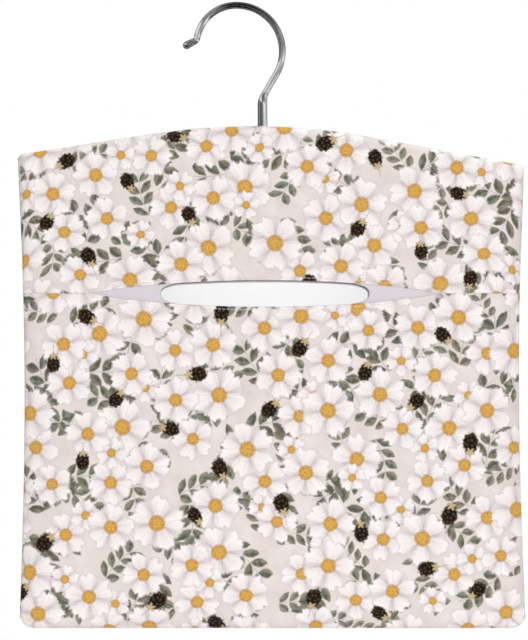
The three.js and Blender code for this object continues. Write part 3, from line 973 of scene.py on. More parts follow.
@dataclass
class Hook:
    """The bent wire hook, with the thicker shank that turns in the hanger. Metres and radians."""

    wire: float = 4.2 * MM
    crook: float = 22.5 * MM
    crook_wide: float = 26.2 * MM
    crook_end: float = math.radians(11.6)
    tip_turn: float = math.radians(52)
    tip_radius: float = 4 * MM
    tip_length: float = 4.8 * MM
    tip_bulb: float = 4.8 * MM
    tip_dome: float = math.radians(78)
    slant: float = math.radians(30.3)
    offset: float = 16.1 * MM
    bend: float = 14 * MM
    shank: float = 6 * MM
    head: float = 6.6 * MM
    head_height: float = 2 * MM
    shoulder: float = -74.2 * MM
    sharp: float = math.radians(40)
    merge: float = 0.001 * MM
    sides: int = 32
    bend_steps: int = 16
    wide_steps: int = 44
    crook_steps: int = 30
    tip_steps: int = 14
    dome_steps: int = 5
    end: Vector = field(default_factory=Vector)

    def push(self, heading: float, distance: float) -> None:
        """Extrudes the open end.

        Args:
            heading: The way to go in the XZ plane, from +X towards +Z.
            distance: How far.
        """
        step = Vector((math.cos(heading), 0, math.sin(heading))) * distance
        bpy.ops.mesh.extrude_region_move(TRANSFORM_OT_translate={"value": step})
        self.end += step

    def swell(self, factor: float) -> None:
        """Scales the open end about its middle."""
        bpy.ops.transform.resize(value=(factor,) * 3, center_override=self.end)

    def turn(self, centre: Vector, angle: float, steps: int) -> None:
        """Spins the open end about a line along Y.

        Args:
            centre: A point on the line.
            angle: How far it turns, clockwise as seen from the front.
            steps: Number of rings.
        """
        bpy.ops.mesh.spin(steps=steps, angle=angle, center=centre, axis=(0, -1, 0))
        spoke = self.end - centre
        spoke.rotate(Euler((0, angle, 0)))
        self.end = centre + spoke

    def build(self, finish: Material) -> Piece:
        """Models the hook from its head up, over the crook and out to the tip.

        Args:
            finish: Its material.

        Returns:
            The hook.
        """
        up = math.pi / 2
        wire_radius = self.wire / 2
        middle = Vector((0, 0, -self.crook))
        wide_middle = Vector((0, 0, -self.crook_wide))
        wide_line = self.crook_wide + wire_radius
        slant_top = wide_middle + Vector((math.cos(self.slant), 0, -math.sin(self.slant))) * wide_line
        corner_z = slant_top.z - (slant_top.x - self.offset) / math.tan(self.slant)
        bend_z = corner_z - self.bend * math.tan(self.slant / 2)

        self.end = Vector((self.offset, 0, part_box("hook")[0].z))
        hook = add_disc("hook_bent_wire", self.sides, self.head / 2, self.end)
        bpy.ops.object.mode_set(mode="EDIT")
        self.push(up, self.head_height)
        self.push(up, 0)
        self.swell(self.wire / self.head)
        self.push(up, self.shoulder - self.end.z)
        self.push(up, 0)
        self.swell(self.shank / self.wire)
        self.push(up, bend_z - self.end.z)
        self.draw_down(Vector((self.offset + self.bend, 0, bend_z)))
        self.push(up - self.slant, (slant_top - self.end).length)
        self.turn(wide_middle, -(up + self.slant), self.wide_steps)
        self.turn(middle, -(up - self.crook_end), self.crook_steps)
        outward = math.pi - self.crook_end
        curl_away = self.crook + wire_radius + self.tip_radius
        curl = middle + Vector((math.cos(outward), 0, math.sin(outward))) * curl_away
        self.turn(curl, self.tip_turn, self.tip_steps)
        self.round_tip(outward + up - self.tip_turn)
        bpy.ops.mesh.select_all(action="SELECT")
        bpy.ops.mesh.remove_doubles(threshold=self.merge)
        bpy.ops.mesh.normals_make_consistent(inside=False)
        bpy.ops.object.mode_set(mode="OBJECT")
        bpy.ops.object.shade_smooth_by_angle(angle=self.sharp)
        hook.data.materials.append(finish)
        mount_piece(hook, Body.HOOK, Slot.CHROME, "hook")
        return hook

    def draw_down(self, centre: Vector) -> None:
        """Draws the shank down to the wire over the bend at its top.

        Args:
            centre: The bend's centre.
        """
        drop = self.shank - self.wire
        width = self.shank
        for step in range(1, self.bend_steps + 1):
            wanted = self.shank - drop * float(smooth(np.array(step), 0, self.bend_steps))
            self.turn(centre, self.slant / self.bend_steps, 1)
            self.swell(wanted / width)
            width = wanted

    def round_tip(self, heading: float) -> None:
        """Swells the wire's end a little and closes it with a low dome.

        Args:
            heading: The way that the end points.
        """
        swelling = self.tip_bulb / self.wire
        for _ in range(self.dome_steps):
            self.push(heading, self.tip_length / self.dome_steps)
            self.swell(swelling ** (1 / self.dome_steps))
        radius = self.tip_bulb / 2
        angles = [self.tip_dome * k / self.dome_steps for k in range(self.dome_steps + 1)]
        for last, angle in zip(angles, angles[1:]):
            self.push(heading, radius * (math.sin(angle) - math.sin(last)))
            self.swell(math.cos(angle) / math.cos(last))


@dataclass
class Cover:
    """The sewn cover's sizes in metres, and the form that they give its cloth.

    Places are measured from the middle of the cover, at the height of its crown.
    """

    cloth: float = 0.6 * MM
    seam_gap: float = 0.1 * MM
    lip_gap: float = 0.02 * MM
    height: float = 309 * MM
    shift: float = 5.2 * MM
    shoulder_half: float = 156.7 * MM
    bottom_half: float = 156 * MM
    bottom_shift: float = 1 * MM
    waist_nip: float = 4 * MM
    top_corner: float = 3 * MM
    bottom_corner: float = 9 * MM
    depth: float = 7.1 * MM
    side_soft: float = 26 * MM
    bottom_soft: float = 32 * MM
    soft_run: float = 60 * MM
    belly: float = 10 * MM
    bar_foot: float = 27.1 * MM
    bar_end: float = 45 * MM
    slack_start: float = 8 * MM
    slack_full: float = 70 * MM
    crown_half: float = 68 * MM
    slope: float = math.radians(9.7)
    tilt: float = math.radians(0.9)
    hole: float = 3.4 * MM
    mouth_depth: float = 103 * MM
    mouth_margin: float = 47.3 * MM
    mouth_offset: float = -3.7 * MM
    mouth_rise: float = 8 * MM
    mouth_sag: float = 8.2 * MM
    lens_taper: float = 0.85
    origin: tuple[float, float, float] = (21.3 * MM, 0.0, -72.2 * MM)

    def arch_drop(self, away: Grid) -> Grid:
        """Works out the hanger's top: arched, then straight to its ends, and tilted.

        Args:
            away: Distance to the right of the shank.

        Returns:
            How far the top has dropped there.
        """
        radius = self.crown_half / math.sin(self.slope)
        far = np.abs(away)
        curved = radius - np.sqrt(radius**2 - np.minimum(far, self.crown_half) ** 2)
        straight = np.maximum(far - self.crown_half, 0) * math.tan(self.slope)
        return curved + straight + away * math.tan(self.tilt)

    def midline(self, z: Grid) -> Grid:
        """The middle of the cover at a height, between its two side seams."""
        return self.bottom_shift * np.clip(-z / self.height, 0, 1)

    def half_width(self, z: Grid) -> Grid:
        """Works out the cover's width, which is nipped in half way down.

        Args:
            z: Heights.

        Returns:
            Half the width there.
        """
        share = np.clip(-z / self.height, 0, 1)
        straight = self.shoulder_half + (self.bottom_half - self.shoulder_half) * share
        return straight - self.waist_nip * np.sin(math.pi * share)

    def from_seam(self, x: Grid, z: Grid) -> Grid:
        """Distance in from the nearer side seam."""
        return self.half_width(z) - np.abs(x - self.midline(z))

    def corner_cut(self, x: Grid, z: float, radius: float) -> Grid:
        """How far a round corner cuts in, where the corner ends at height z."""
        into = np.clip(1 - self.from_seam(x, np.array(z)) / radius, 0, 1)
        return radius * (1 - np.sqrt(1 - into * into))

    def top_edge(self, x: Grid) -> Grid:
        """Height of the top seam."""
        end = -float(self.arch_drop(np.array(self.shoulder_half))) - self.top_corner
        return -self.arch_drop(x + self.shift) - self.corner_cut(x, end, self.top_corner)

    def bottom_edge(self, x: Grid) -> Grid:
        """Height of the bottom seam."""
        end = -self.height + self.bottom_corner
        return -self.height + self.corner_cut(x, end, self.bottom_corner)

    def mouth_half(self) -> float:
        """Half the length of the mouth."""
        return float(self.half_width(np.array(-self.mouth_depth))) - self.mouth_margin

    def mouth_share(self, x: Grid) -> Grid:
        """How open the mouth is, from 1 in its middle to 0 at its ends."""
        share = (x - self.mouth_offset) / self.mouth_half()
        return np.maximum(0, 1 - share * share) ** self.lens_taper

    def upper_lip(self, x: Grid) -> Grid:
        """Height of the mouth's upper edge."""
        return -self.mouth_depth + self.lip_gap + self.mouth_rise * self.mouth_share(x)

    def lower_lip(self, x: Grid) -> Grid:
        """Height of the mouth's lower edge."""
        return -self.mouth_depth - self.lip_gap - self.mouth_sag * self.mouth_share(x)

    def side_roll(self, z: Grid) -> Grid:
        """Width over which a side edge rolls in: tight on the hanger, softer down the pouch."""
        down = smooth(-self.bar_end - z, 0, self.soft_run)
        return self.depth + (self.side_soft - self.depth) * down

    def side_round(self, x: Grid, z: Grid) -> Grid:
        """How far out the cloth stands near its side seams: 0 on a seam, 1 past its roll."""
        short = np.clip(1 - self.from_seam(x, z) / self.side_roll(z), 0, 1)
        return np.sqrt(1 - short * short)

    def front_depth(self, x: Grid, z: Grid) -> Grid:
        """Works out the form of the front, which bellies out below the hanger.

        Args:
            x: Places across.
            z: Places up.

        Returns:
            Distance of the front from the middle plane.
        """
        down = np.clip((-self.bar_foot - z) / (self.height - self.bar_foot), 0, 1)
        across = np.clip((x - self.midline(z)) / self.half_width(z), -1, 1)
        # The belly is deepest two thirds of the way down, where the product comes to 4/27.
        fall = down * down * (1 - down) / (4 / 27)
        return self.depth + self.belly * fall * (1 - across * across) ** 2

    def slack(self, z: Grid) -> Grid:
        """How free the cloth is: 0 on the hanger, 1 well below it."""
        return smooth(-z, self.bar_foot + self.slack_start, self.bar_foot + self.slack_full)


@dataclass
class Panel:
    """One sheet of the cover: its edges, its rows and columns, and where it was cut. Metres."""

    name: str
    node: str
    side: Side
    cover: Cover
    high: Edge
    low: Edge
    rolled_top: bool
    rolled_bottom: bool
    rows: int
    cut_from: tuple[float, float]
    flat: tuple[float, float]
    area: float
    seed: float
    columns: int = 92
    roll_steps: int = 9
    settle_turns: int = 5
    # More columns by the shank, on each side of it, and more rows along a lip.
    shank_columns: int = 6
    shank_step: float = 1.1 * MM
    lip_rows: tuple[float, ...] = tuple(d * MM for d in (0.5, 1.0, 1.6, 2.2, 2.8, 3.4, 4.0, 4.8, 6.0))
    # A seam's groove: its depth, and how far round the roll it reaches in radians.
    groove: float = 0.28 * MM
    groove_reach: float = 0.17
    # The mouth's hem: its width, its swelling, how its stitches draw it in, and how open the mouth
    # is where the hem is full.
    hem: float = 1.8 * MM
    hem_swell: float = 0.25 * MM
    stitch_draw: float = 0.15 * MM
    stitch_reach: float = 0.6 * MM
    hem_fade: float = 0.15
    folds: Fold = Fold(0.55 * MM, 46 * MM, 150 * MM)
    dents: Fold = Fold(0.35 * MM, 30 * MM, 34 * MM, seed=5)
    puckers: Fold = Fold(0.5 * MM, 40 * MM, 9 * MM, seed=9)
    pucker_reach: float = 15 * MM

    def stations(self, count: int, rolled: tuple[bool, bool], extra: Iterable[float]) -> Grid:
        """Stations from one edge of the sheet to the other.

        Args:
            count: Even steps between the edges.
            rolled: Whether the first and the last edge roll in.
            extra: More stations between the edges, as shares of the way.

        Returns:
            Five rows, with a place for each station: the share of the way, the shares of the first
            and of the last roll that it is set in by, how far out it stands, and how near to either
            seam it is.
        """
        angles = np.linspace(0, math.pi / 2, self.roll_steps, endpoint=False)
        zero = np.zeros_like(angles)
        near = np.exp(-((angles / self.groove_reach) ** 2))
        share = np.unique(np.concatenate([np.linspace(0, 1, count + 1), list(extra)]))
        flat = np.zeros_like(share)
        spread = np.stack([share, 1 - share, -share, flat + 1, flat], 1)
        first = np.stack([zero, 1 - np.cos(angles), zero, np.sin(angles), near], 1)
        last = np.stack([zero + 1, zero, np.cos(angles) - 1, np.sin(angles), -near], 1)[::-1]
        parts = [first] * rolled[0] + [spread] + [last] * rolled[1]
        return np.concatenate(parts).T

    def skin(self) -> Grid:
        """Lofts the outer skin between the sheet's edges.

        Returns:
            Its points, rows by columns by 3, from the cover's middle.
        """
        cover = self.cover
        beside = self.shank_step * np.arange(-self.shank_columns, self.shank_columns + 1)
        by_shank = 0.5 + (beside - cover.shift) / (2 * cover.shoulder_half)
        columns = self.stations(self.columns, (True, True), by_shank)
        across, left_in, right_in, side_out, by_side = columns[:, None, :]
        tall = float(self.high(np.zeros(1))[0] - self.low(np.zeros(1))[0])
        near_lip = np.array(self.lip_rows) / tall
        low_lip = [] if self.rolled_bottom else list(1 - near_lip)
        high_lip = [] if self.rolled_top else list(near_lip)
        rows = self.stations(self.rows, (self.rolled_top, self.rolled_bottom), low_lip + high_lip)
        down, top_in, bottom_in, end_out, by_end = rows[:, :, None]
        top_roll = cover.depth if self.rolled_top else 0.0
        bottom_roll = cover.bottom_soft if self.rolled_bottom else 0.0

        # Width follows height and height follows the edges, so a few turns settle both.
        z = np.zeros(np.broadcast(down, across).shape)
        for _ in range(self.settle_turns):
            half = cover.half_width(z)
            roll = cover.side_roll(z)
            x = half * (2 * across - 1) + roll * (left_in + right_in)
            x = x + cover.midline(z) + self.groove * by_side
            high, low = self.high(x), self.low(x)
            z = high + (low - high) * down - top_roll * top_in - bottom_roll * bottom_in
            z = z - self.groove * by_end
        y = self.side.value * (self.depth_at(x, z) * side_out * end_out + cover.seam_gap / 2)
        x, y = self.part_round_shank(x, y)
        return np.stack([x, y, z], -1)

    def depth_at(self, x: Grid, z: Grid) -> Grid:
        """Works out the form of the cloth before its edges roll in.

        Args:
            x: Places across.
            z: Places up.

        Returns:
            Distance of its outside from the middle plane.
        """
        cover = self.cover
        form = cover.front_depth(x, z) if self.side is Side.FRONT else np.full_like(x, cover.depth)
        return form + self.sag(x, z) + self.hems(x, z)

    def sag(self, x: Grid, z: Grid) -> Grid:
        """Hangs the cloth: soft folds and dents below the hanger, puckers along the side seams.

        Args:
            x: Places across.
            z: Places up.

        Returns:
            How far the cloth stands out.
        """
        folds = self.folds.at(x, z, self.seed)
        dents = self.dents.at(x, z, self.seed)
        edge = np.exp(-((self.cover.from_seam(x, z) / self.pucker_reach) ** 2))
        puckers = self.puckers.at(x, z, self.seed) * edge
        return (folds + dents + puckers) * self.cover.slack(z)

    def hems(self, x: Grid, z: Grid) -> Grid:
        """Turns the hem along the mouth: it swells at the edge and is drawn in at its stitches.

        Args:
            x: Places across.
            z: Places up.

        Returns:
            How far the cloth stands out.
        """
        edges = ((self.high, self.rolled_top), (self.low, self.rolled_bottom))
        lift = np.zeros_like(x)
        for lip in [edge for edge, rolled in edges if not rolled]:
            into = np.abs(z - lip(x))
            swell = np.sin(np.clip(into / self.hem, 0, 1) * math.pi) * (into < self.hem)
            drawn = np.exp(-(((into - self.hem) / self.stitch_reach) ** 2))
            lift = lift + self.hem_swell * swell - self.stitch_draw * drawn
        return lift * smooth(self.cover.mouth_share(x), 0, self.hem_fade)

    def part_round_shank(self, x: Grid, y: Grid) -> tuple[Grid, Grid]:
        """Parts the top seam round the hook's shank.

        Args:
            x: Places across.
            y: Places along the view.

        Returns:
            The places across and along the view, moved clear of the shank.
        """
        from_shank = x + self.cover.shift
        away = np.hypot(from_shank, y)
        wider = (away**4 + self.cover.hole**4) ** 0.25 / away
        return from_shank * wider - self.cover.shift, y * wider

    def flat_pattern(self, points: Grid) -> Grid:
        """Lays the sheet flat, by lengths measured along it.

        Args:
            points: The skin's points, rows by columns by 3.

        Returns:
            Where they lie on the flat cloth, rows by columns by 2.
        """
        across = run_lengths(points, 1)
        down = run_lengths(points, 0)
        middle = points.shape[1] // 2
        u = across - across[:, middle : middle + 1] + points[:, middle : middle + 1, 0]
        v = points[:1, :, 2] - down
        return np.stack([u + self.cut_from[0], v + self.cut_from[1]], -1)

    def build(self, finishes: list[Material]) -> Piece:
        """Args:
            finishes: The printed outside, then the reverse.

        Returns:
            The panel.
        """
        points = self.skin()
        flat = self.flat_pattern(points)
        if self.side is Side.BACK:
            points, flat = points[:, ::-1], flat[:, ::-1]
        panel = sheet_mesh(self.name, points + np.array(self.cover.origin), flat)
        thicken(panel, self.cover.cloth, finishes)
        mount_piece(panel, Body.BAG, Slot.PRINT, self.node)
        return panel


@dataclass
class Facing:
    """The plain strip behind the mouth, with an oval cut out of it. Metres."""

    cover: Cover
    behind: float = 1.0 * MM
    oval_inset: float = 42 * MM
    oval_rim: float = -0.5 * MM
    # Powers of the outlines: 2 is an ellipse, and more is squarer.
    oval_blunt: float = 2.9
    strip_blunt: float = 4.0
    lap: float = 9 * MM
    reach: float = 14 * MM
    steps: int = 240
    rows: int = 16
    row_crowding: float = 1.5
    # The turned edge round the oval, and the slack that starts past it.
    turned: float = 2.6 * MM
    turned_swell: float = 0.3 * MM
    slack: Fold = Fold(0.25 * MM, 24 * MM, 20 * MM)
    slack_run: float = 12 * MM
    seed: float = 3.3

    def points(self) -> Grid:
        """Lofts the strip's front skin from the oval out to its edge.

        Returns:
            Its points, rows by columns by 3, from the cover's middle.
        """
        cover = self.cover
        half_height = (cover.mouth_rise + cover.mouth_sag) / 2
        centre = -cover.mouth_depth + (cover.mouth_rise - cover.mouth_sag) / 2
        angle = np.linspace(0, math.tau, self.steps, endpoint=False)[None, :]
        share = (np.linspace(0, 1, self.rows + 1) ** self.row_crowding)[:, None]
        across, up = np.cos(angle), np.sin(angle)
        round_end, square = (
            (np.abs(across) ** blunt + np.abs(up) ** blunt) ** (-1 / blunt)
            for blunt in (self.oval_blunt, self.strip_blunt)
        )
        oval = (cover.mouth_half() - self.oval_inset, half_height - self.oval_rim)
        strip = (cover.mouth_half() + self.lap, half_height + self.reach)
        x = cover.mouth_offset + across * (oval[0] * round_end * (1 - share) + strip[0] * square * share)
        z = centre + up * (oval[1] * round_end * (1 - share) + strip[1] * square * share)
        from_oval = np.hypot(x - x[:1], z - z[:1])
        swell = self.turned_swell * np.sin(np.clip(from_oval / self.turned, 0, 1) * math.pi)
        slack = self.slack.at(x, z, self.seed) * smooth(from_oval, 0, self.slack_run)
        y = -(cover.front_depth(x, z) - cover.cloth - self.behind + swell + slack)
        return np.stack([x, y, z], -1)

    def build(self, finish: Material) -> Piece:
        """Args:
            finish: Its material on both sides.

        Returns:
            The facing.
        """
        points = self.points()
        placed = points + np.array(self.cover.origin)
        facing = sheet_mesh("mouth_facing_strip", placed, points[..., [0, 2]], looped=True)
        thicken(facing, self.cover.cloth, [finish])
        mount_piece(facing, Body.BAG, Slot.PLAIN, "mouth_facing")
        width = 2 * (self.cover.mouth_half() + self.lap)
        return facing


@dataclass
class Sewing:
    """The thread along the mouth: a row of stitches on each lip, and a bar tack at each end. Metres."""

    cover: Cover
    upper: Panel
    lower: Panel
    pitch: float = 2.6 * MM
    stitch: float = 2.1 * MM
    thread: float = 0.36 * MM
    sides: int = 8
    overrun: float = 6 * MM
    tack: float = 7 * MM
    tack_step: float = 0.62 * MM
    tack_count: int = 7
    tack_clear: float = 0.5 * MM
    samples: int = 600
    feeler: float = 1 * MM
    # A stitch's rings: the share of its length, then width and height in thread radii.
    rings: tuple[tuple[float, float, float], ...] = (
        (0.0, 0.45, -0.9),
        (0.06, 0.8, -0.2),
        (0.2, 1.0, 0.35),
        (0.8, 1.0, 0.35),
        (0.94, 0.8, -0.2),
        (1.0, 0.45, -0.9),
    )

    def model_stitch(self, length: float, finish: Material) -> Piece:
        """Models one stitch along X: it rises out of the cloth, lies on it and dips in again.

        Args:
            length: Length of the stitch.
            finish: Its material.

        Returns:
            The stitch, at the origin.
        """
        radius = self.thread / 2
        middles = [Vector((length * (share - 0.5), 0, radius * height)) for share, _, height in self.rings]
        widths = [width for _, width, _ in self.rings]
        stitch = add_disc("stitch", self.sides, radius * widths[0], middles[0], (0, math.pi / 2, 0))
        bpy.ops.object.mode_set(mode="EDIT")
        for k in range(1, len(self.rings)):
            step = middles[k] - middles[k - 1]
            factor = widths[k] / widths[k - 1]
            bpy.ops.mesh.extrude_region_move(TRANSFORM_OT_translate={"value": step})
            bpy.ops.transform.resize(value=(factor,) * 3, center_override=middles[k])
        bpy.ops.mesh.select_all(action="SELECT")
        bpy.ops.mesh.normals_make_consistent(inside=False)
        bpy.ops.object.mode_set(mode="OBJECT")
        bpy.ops.object.shade_smooth()
        stitch.data.materials.append(finish)
        return stitch

    def on_cloth(self, panel: Panel, x: Grid, z: Grid) -> Grid:
        """Points on the outside of a front panel."""
        y = -(panel.depth_at(x, z) * self.cover.side_round(x, z) + self.cover.seam_gap / 2)
        return np.stack([x, y, z], -1) + np.array(self.cover.origin)

    def sew(self, name: str, stitch: Piece, middles: Grid, along: Grid) -> None:
        """Copies a stitch along a row and joins the copies.

        Args:
            name: The row's name.
            stitch: The stitch to copy, which is removed.
            middles: The middle of each stitch.
            along: The way that each stitch runs.
        """
        copies = []
        for middle, way in zip(middles, along):
            copy = bpy.data.objects.new(name, stitch.data.copy())
            bpy.context.scene.collection.objects.link(copy)
            run = Vector(way).normalized()
            out = (Vector((0, -1, 0)) + run * run.y).normalized()
            turn = Matrix((run, out.cross(run), out)).transposed()
            copy.matrix_world = Matrix.Translation(middle) @ turn.to_4x4()
            copies.append(copy)
        bpy.data.objects.remove(stitch)
        select_only(copies[0])
        for copy in copies:
            copy.select_set(True)
        bpy.ops.object.join()
        bpy.ops.object.transform_apply(location=True, rotation=True, scale=True)
        row = bpy.context.object
        row.name = row.data.name = name
        mount_piece(row, Body.BAG, Slot.PLAIN)

    def row(self, panel: Panel, lip: Edge, aside: float) -> tuple[Grid, Grid]:
        """Evenly spaced places along a lip.

        Args:
            panel: The panel that the row is on.
            lip: Height of the lip's edge.
            aside: How far above the edge the row lies.

        Returns:
            The middle of each stitch, and the way that it runs.
        """
        half = self.cover.mouth_half() + self.overrun
        x = np.linspace(-half, half, self.samples) + self.cover.mouth_offset
        path = self.on_cloth(panel, x, lip(x) + aside)
        length = run_lengths(path, 0)
        spots = np.arange(self.pitch / 2, length[-1], self.pitch)
        before, after = (
            np.stack([np.interp(spots + ahead, length, path[:, axis]) for axis in range(3)], 1)
            for ahead in (-self.feeler, self.feeler)
        )
        return (before + after) / 2, after - before

    def tacks(self) -> tuple[Grid, Grid]:
        """Places the bar tacks across the seam at each end of the mouth.

        Returns:
            The middle of each stitch, and the way that it runs.
        """
        cover = self.cover
        steps = (np.arange(self.tack_count) - (self.tack_count - 1) / 2) * self.tack_step
        away = cover.mouth_half() + self.tack_clear
        x = np.concatenate([cover.mouth_offset + end + steps for end in (-away, away)])
        middles = self.on_cloth(self.lower, x, np.full_like(x, -cover.mouth_depth))
        return middles, np.tile([0.0, 0.0, 1.0], (len(x), 1))

    def build(self, finish: Material) -> None:
        """Sews both rows and the bar tacks.

        Args:
            finish: The thread's material.
        """
        upper = self.row(self.upper, self.cover.upper_lip, self.upper.hem)
        lower = self.row(self.lower, self.cover.lower_lip, -self.lower.hem)
        self.sew("mouth_topstitch_upper", self.model_stitch(self.stitch, finish), *upper)
        self.sew("mouth_topstitch_lower", self.model_stitch(self.stitch, finish), *lower)
        self.sew("mouth_bar_tacks", self.model_stitch(self.tack, finish), *self.tacks())


@dataclass(frozen=True)
class Lamp:
    """A soft square lamp that faces the bag. Degrees from the front to the right and up, metres, watts."""

    name: str
    azimuth: float
    elevation: float
    away: float
    side: float
    power: float

    def set_up(self, aim: Vector) -> None:
        """Sets the lamp up; it shows in no mirror.

        Args:
            aim: The point that it faces.
        """
        lamp = bpy.data.lights.new(self.name, "AREA")
        lamp.energy = self.power
        lamp.shape = "SQUARE"
        lamp.size = self.side
        holder = bpy.data.objects.new(self.name, lamp)
        bpy.context.scene.collection.objects.link(holder)
        turn, rise = math.radians(self.azimuth), math.radians(self.elevation)
        level = Vector((math.sin(turn), -math.cos(turn), 0)) * math.cos(rise)
        direction = level + Vector((0, 0, math.sin(rise)))
        holder.location = aim + direction * self.away
        holder.rotation_euler = (-direction).to_track_quat("-Z", "Y").to_euler()
        holder.visible_glossy = False


@dataclass
class Stage:
    """The studio: floor, world, lamps, screens and camera.

    Sizes are in metres, angles in degrees and the camera's sensor in millimetres.
    """

    floor_drop: float = -0.78
    floor_radius: float = 1.5
    floor_full: float = 0.35
    floor_sides: int = 96
    floor_glow: float = 0.26
    paper: tuple[str, str] = ("#cfcfce", "#d6d6d6")
    paper_mottle: float = 16.7 * MM
    ambient: float = 0.3
    lamps: tuple[Lamp, ...] = (
        Lamp("key", azimuth=2, elevation=3.6, away=2.2, side=0.16, power=36.8),
        Lamp("rear_fill", azimuth=165, elevation=15, away=2.0, side=1.0, power=28),
        Lamp("edge_light", azimuth=120, elevation=60, away=2.0, side=0.8, power=32),
    )
    view_reach: float = 1.6
    aim: tuple[float, float, float] = (17.0 * MM, 0.0, -191.5 * MM)
    seen_height: float = 393.6 * MM
    sensor: float = 36.0
    screen_away: float = 0.2
    screen_radius: float = 2.4
    screen_sides: int = 64
    screen_middle: float = -24 * MM
    front_light: float = 1.5
    back_light: float = 0.75
    # Each tone is an angle clockwise from a screen's top, and its grey there.
    tones: tuple[tuple[float, str], ...] = (
        (-165, "#202020"),
        (-135, "#505050"),
        (-120, "#626262"),
        (-106, "#5e5e5e"),
        (-96, "#606060"),
        (-88, "#606060"),
        (-72, "#7e7e7e"),
        (-67, "#e8e8e8"),
        (-55, "#e8e8e8"),
        (-48, "#848484"),
        (-30, "#8c8c8c"),
        (-15, "#363636"),
        (0, "#1c1c1c"),
        (15, "#202020"),
        (45, "#505050"),
        (60, "#9a9a9a"),
        (75, "#828282"),
        (84, "#b4b4b4"),
        (90, "#dcdcdc"),
        (93, "#f6f6f6"),
        (96, "#eaeaea"),
        (101, "#9a9a9a"),
        (112, "#a0a0a0"),
        (118, "#f0f0f0"),
        (126, "#f0f0f0"),
        (129, "#949494"),
        (133, "#5a5a5a"),
        (150, "#6a6a6a"),
        (165, "#2a2a2a"),
        (180, "#101010"),
    )

    def build(self) -> None:
        """Builds the stage."""
        self.light_world()
        self.lay_floor()
        for lamp in self.lamps:
            lamp.set_up(Vector(self.aim))
        self.hang_screen("front_screen", -self.screen_away, self.front_light)
        self.hang_screen("back_screen", self.screen_away, self.back_light)
        self.set_camera()
        bpy.context.scene.view_settings.view_transform = "Standard"

    def shown(self, tree: Tree) -> Node:
        """Tells the rays that see a surface from those that only take light from it.

        Args:
            tree: The material's or the world's nodes.

        Returns:
            1 where the surface is seen, mirrored or looked through at, and otherwise 0.
        """
        path = add(tree, "LightPath")
        rays = [path.outputs[f"Is {kind} Ray"] for kind in ("Camera", "Glossy", "Transmission")]
        either = add(tree, "Math", {0: rays[0], 1: rays[1]}, operation="MAXIMUM")
        return add(tree, "Math", {0: either, 1: rays[2]}, operation="MAXIMUM")

    def light_world(self) -> None:
        """Makes the world white where it is seen or mirrored, and plain soft light elsewhere."""
        world = bpy.data.worlds.new("studio")
        bpy.context.scene.world = world
        world.use_nodes = True
        tree = world.node_tree
        limits = {"To Min": self.ambient, "To Max": 1.0}
        strength = add(tree, "MapRange", {"Value": self.shown(tree), **limits})
        put(tree, tree.nodes["Background"], {"Color": linear("#ffffff"), "Strength": strength})

    def lay_floor(self) -> None:
        """Lays a pale round floor that fades out at its rim."""
        floor = add_disc("studio_floor", self.floor_sides, self.floor_radius, (0, 0, self.floor_drop))
        material, tree, shader = new_material(
            "floor_paper_white", Roughness=0.9, Specular_IOR_Level=0.1, Emission_Color=linear("#ffffff")
        )
        place = add(tree, "TexCoord").outputs["Object"]
        level = add(tree, "VectorMath", {0: place, 1: (1, 1, 0)}, operation="MULTIPLY")
        away = add(tree, "VectorMath", {0: level}, operation="LENGTH")
        span = {"From Min": self.floor_full * self.floor_radius, "From Max": self.floor_radius}
        fade = add(tree, "MapRange", {"Value": away, **span, "To Min": 1.0, "To Max": 0.0})
        mottle = add(tree, "TexNoise", {"Vector": place, "Scale": 1 / self.paper_mottle})
        dark, pale = self.paper
        papers = {UNDER: linear(dark), OVER: linear(pale)}
        paper = add(tree, "Mix", {SHARE: mottle, **papers}, data_type="RGBA")
        glow = add(tree, "Math", {0: self.shown(tree), 1: self.floor_glow}, operation="MULTIPLY")
        put(tree, shader, {"Base Color": paper, "Alpha": fade, "Emission Strength": glow})
        floor.data.materials.append(material)
        floor.visible_glossy = False

    def hang_screen(self, name: str, y: float, light: float) -> None:
        """Hangs a round screen square to the view, which only mirrors see, to give the chrome form.

        Args:
            name: Its name.
            y: Its place along the view.
            light: How strongly it shines.
        """
        material, tree, shader = new_material(
            name, Base_Color=linear("#000000"), Roughness=1.0, Specular_IOR_Level=0.0, Emission_Strength=light
        )
        place = add(tree, "TexCoord").outputs["Object"]
        middle = (0, 0, self.screen_middle)
        spoke = add(tree, "VectorMath", {0: place, 1: middle}, operation="SUBTRACT")
        across, _, up = add(tree, "SeparateXYZ", {0: spoke}).outputs
        clock = add(tree, "Math", {0: across, 1: up}, operation="ARCTAN2")
        share = add(tree, "MapRange", {"Value": clock, "From Min": -math.pi, "From Max": math.pi})
        ramp = add(tree, "ValToRGB", {0: share})
        for end in ramp.color_ramp.elements:
            end.color = linear(self.tones[-1][1])
        for angle, tone in self.tones[:-1]:
            ramp.color_ramp.elements.new((angle + 180) / 360).color = linear(tone)
        put(tree, shader, {"Emission Color": ramp})
        facing = (math.pi / 2, 0, 0)
        screen = add_disc(name, self.screen_sides, self.screen_radius, (0, y, 0), facing)
        screen.data.materials.append(material)
        for ray in ("camera", "diffuse", "transmission", "volume_scatter", "shadow"):
            setattr(screen, f"visible_{ray}", False)

    def set_camera(self) -> None:
        """Sets a long lens, level and straight on, as the photograph was taken."""
        lens = bpy.data.cameras.new("front")
        lens.sensor_width = self.sensor
        lens.lens = self.sensor * self.view_reach / self.seen_height
        camera = bpy.data.objects.new("front", lens)
        bpy.context.scene.collection.objects.link(camera)
        camera.location = Vector(self.aim) - Vector((0, self.view_reach, 0))
        camera.rotation_euler = (math.pi / 2, 0, 0)
        bpy.context.scene.camera = camera


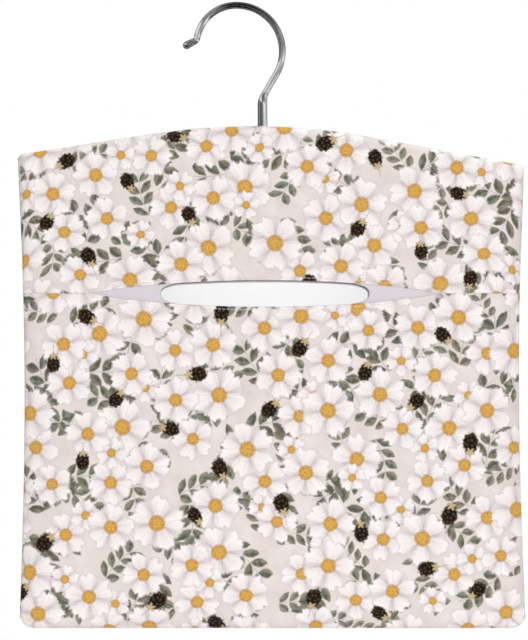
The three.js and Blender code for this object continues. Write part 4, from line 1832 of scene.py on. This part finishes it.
def cut_panels(cover: Cover) -> dict[str, Panel]:
    """Cuts the cover's three panels, each from its own place on the printed cloth.

    Args:
        cover: The cover that they are sewn into.

    Returns:
        The panels by their CAD nodes.
    """
    back = Panel(
        name="back_panel_cloth",
        node="back_panel",
        side=Side.BACK,
        cover=cover,
        high=cover.top_edge,
        low=cover.bottom_edge,
        rolled_top=True,
        rolled_bottom=True,
        rows=120,
        cut_from=(1.37, 0.52),
        flat=(0.34, 0.335),
        area=0.108,
        seed=7.7,
    )
    upper = Panel(
        name="upper_front_cloth",
        node="upper_front",
        side=Side.FRONT,
        cover=cover,
        high=cover.top_edge,
        low=cover.upper_lip,
        rolled_top=True,
        rolled_bottom=False,
        rows=40,
        cut_from=(0.858, 0.41),
        flat=(0.34, 0.13),
        area=0.034,
        seed=2.1,
    )
    lower = Panel(
        name="lower_front_cloth",
        node="lower_front",
        side=Side.FRONT,
        cover=cover,
        high=cover.lower_lip,
        low=cover.bottom_edge,
        rolled_top=False,
        rolled_bottom=True,
        rows=84,
        cut_from=(0.64, 0.17),
        flat=(0.34, 0.225),
        area=0.074,
        seed=4.6,
    )
    return {panel.node: panel for panel in (back, upper, lower)}


def main() -> None:
    """Builds the stage and the bag's pieces around the CAD frame."""
    logging.basicConfig(level=logging.INFO, format="%(name)s: %(message)s")
    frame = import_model()
    Stage().build()

    printed = PrintedCotton().material()
    reverse = PlainCotton("cotton_reverse", colour="#fdfdfd", hollow="#f9f8f9").material()
    # The facing's grey-lavender colour is painted shade: it is white cotton like the reverse, drawn darker
    # for the shade inside the ends of the mouth.
    plain = PlainCotton("cotton_facing_painted_shade", colour="#d2ccd2", hollow="#cec8cf").material()
    Hook().build(ChromePlate().material())
    cover = Cover()
    panels = cut_panels(cover)
    for panel in panels.values():
        panel.build([printed, reverse])
    Facing(cover).build(plain)
    Sewing(cover, panels["upper_front"], panels["lower_front"]).build(SewingThread().material())

    finishes = {"hanger_bar": Beech(), "hook_bush": TurnedSteel(), "hook_washer": TurnedSteel()}
    for name, finish in finishes.items():
        node = frame["nodes"][name]
        node.data.materials.clear()
        node.data.materials.append(finish.material())
        LOG.info("%s keeps its CAD solid", name)


if __name__ == "__main__":
    main()
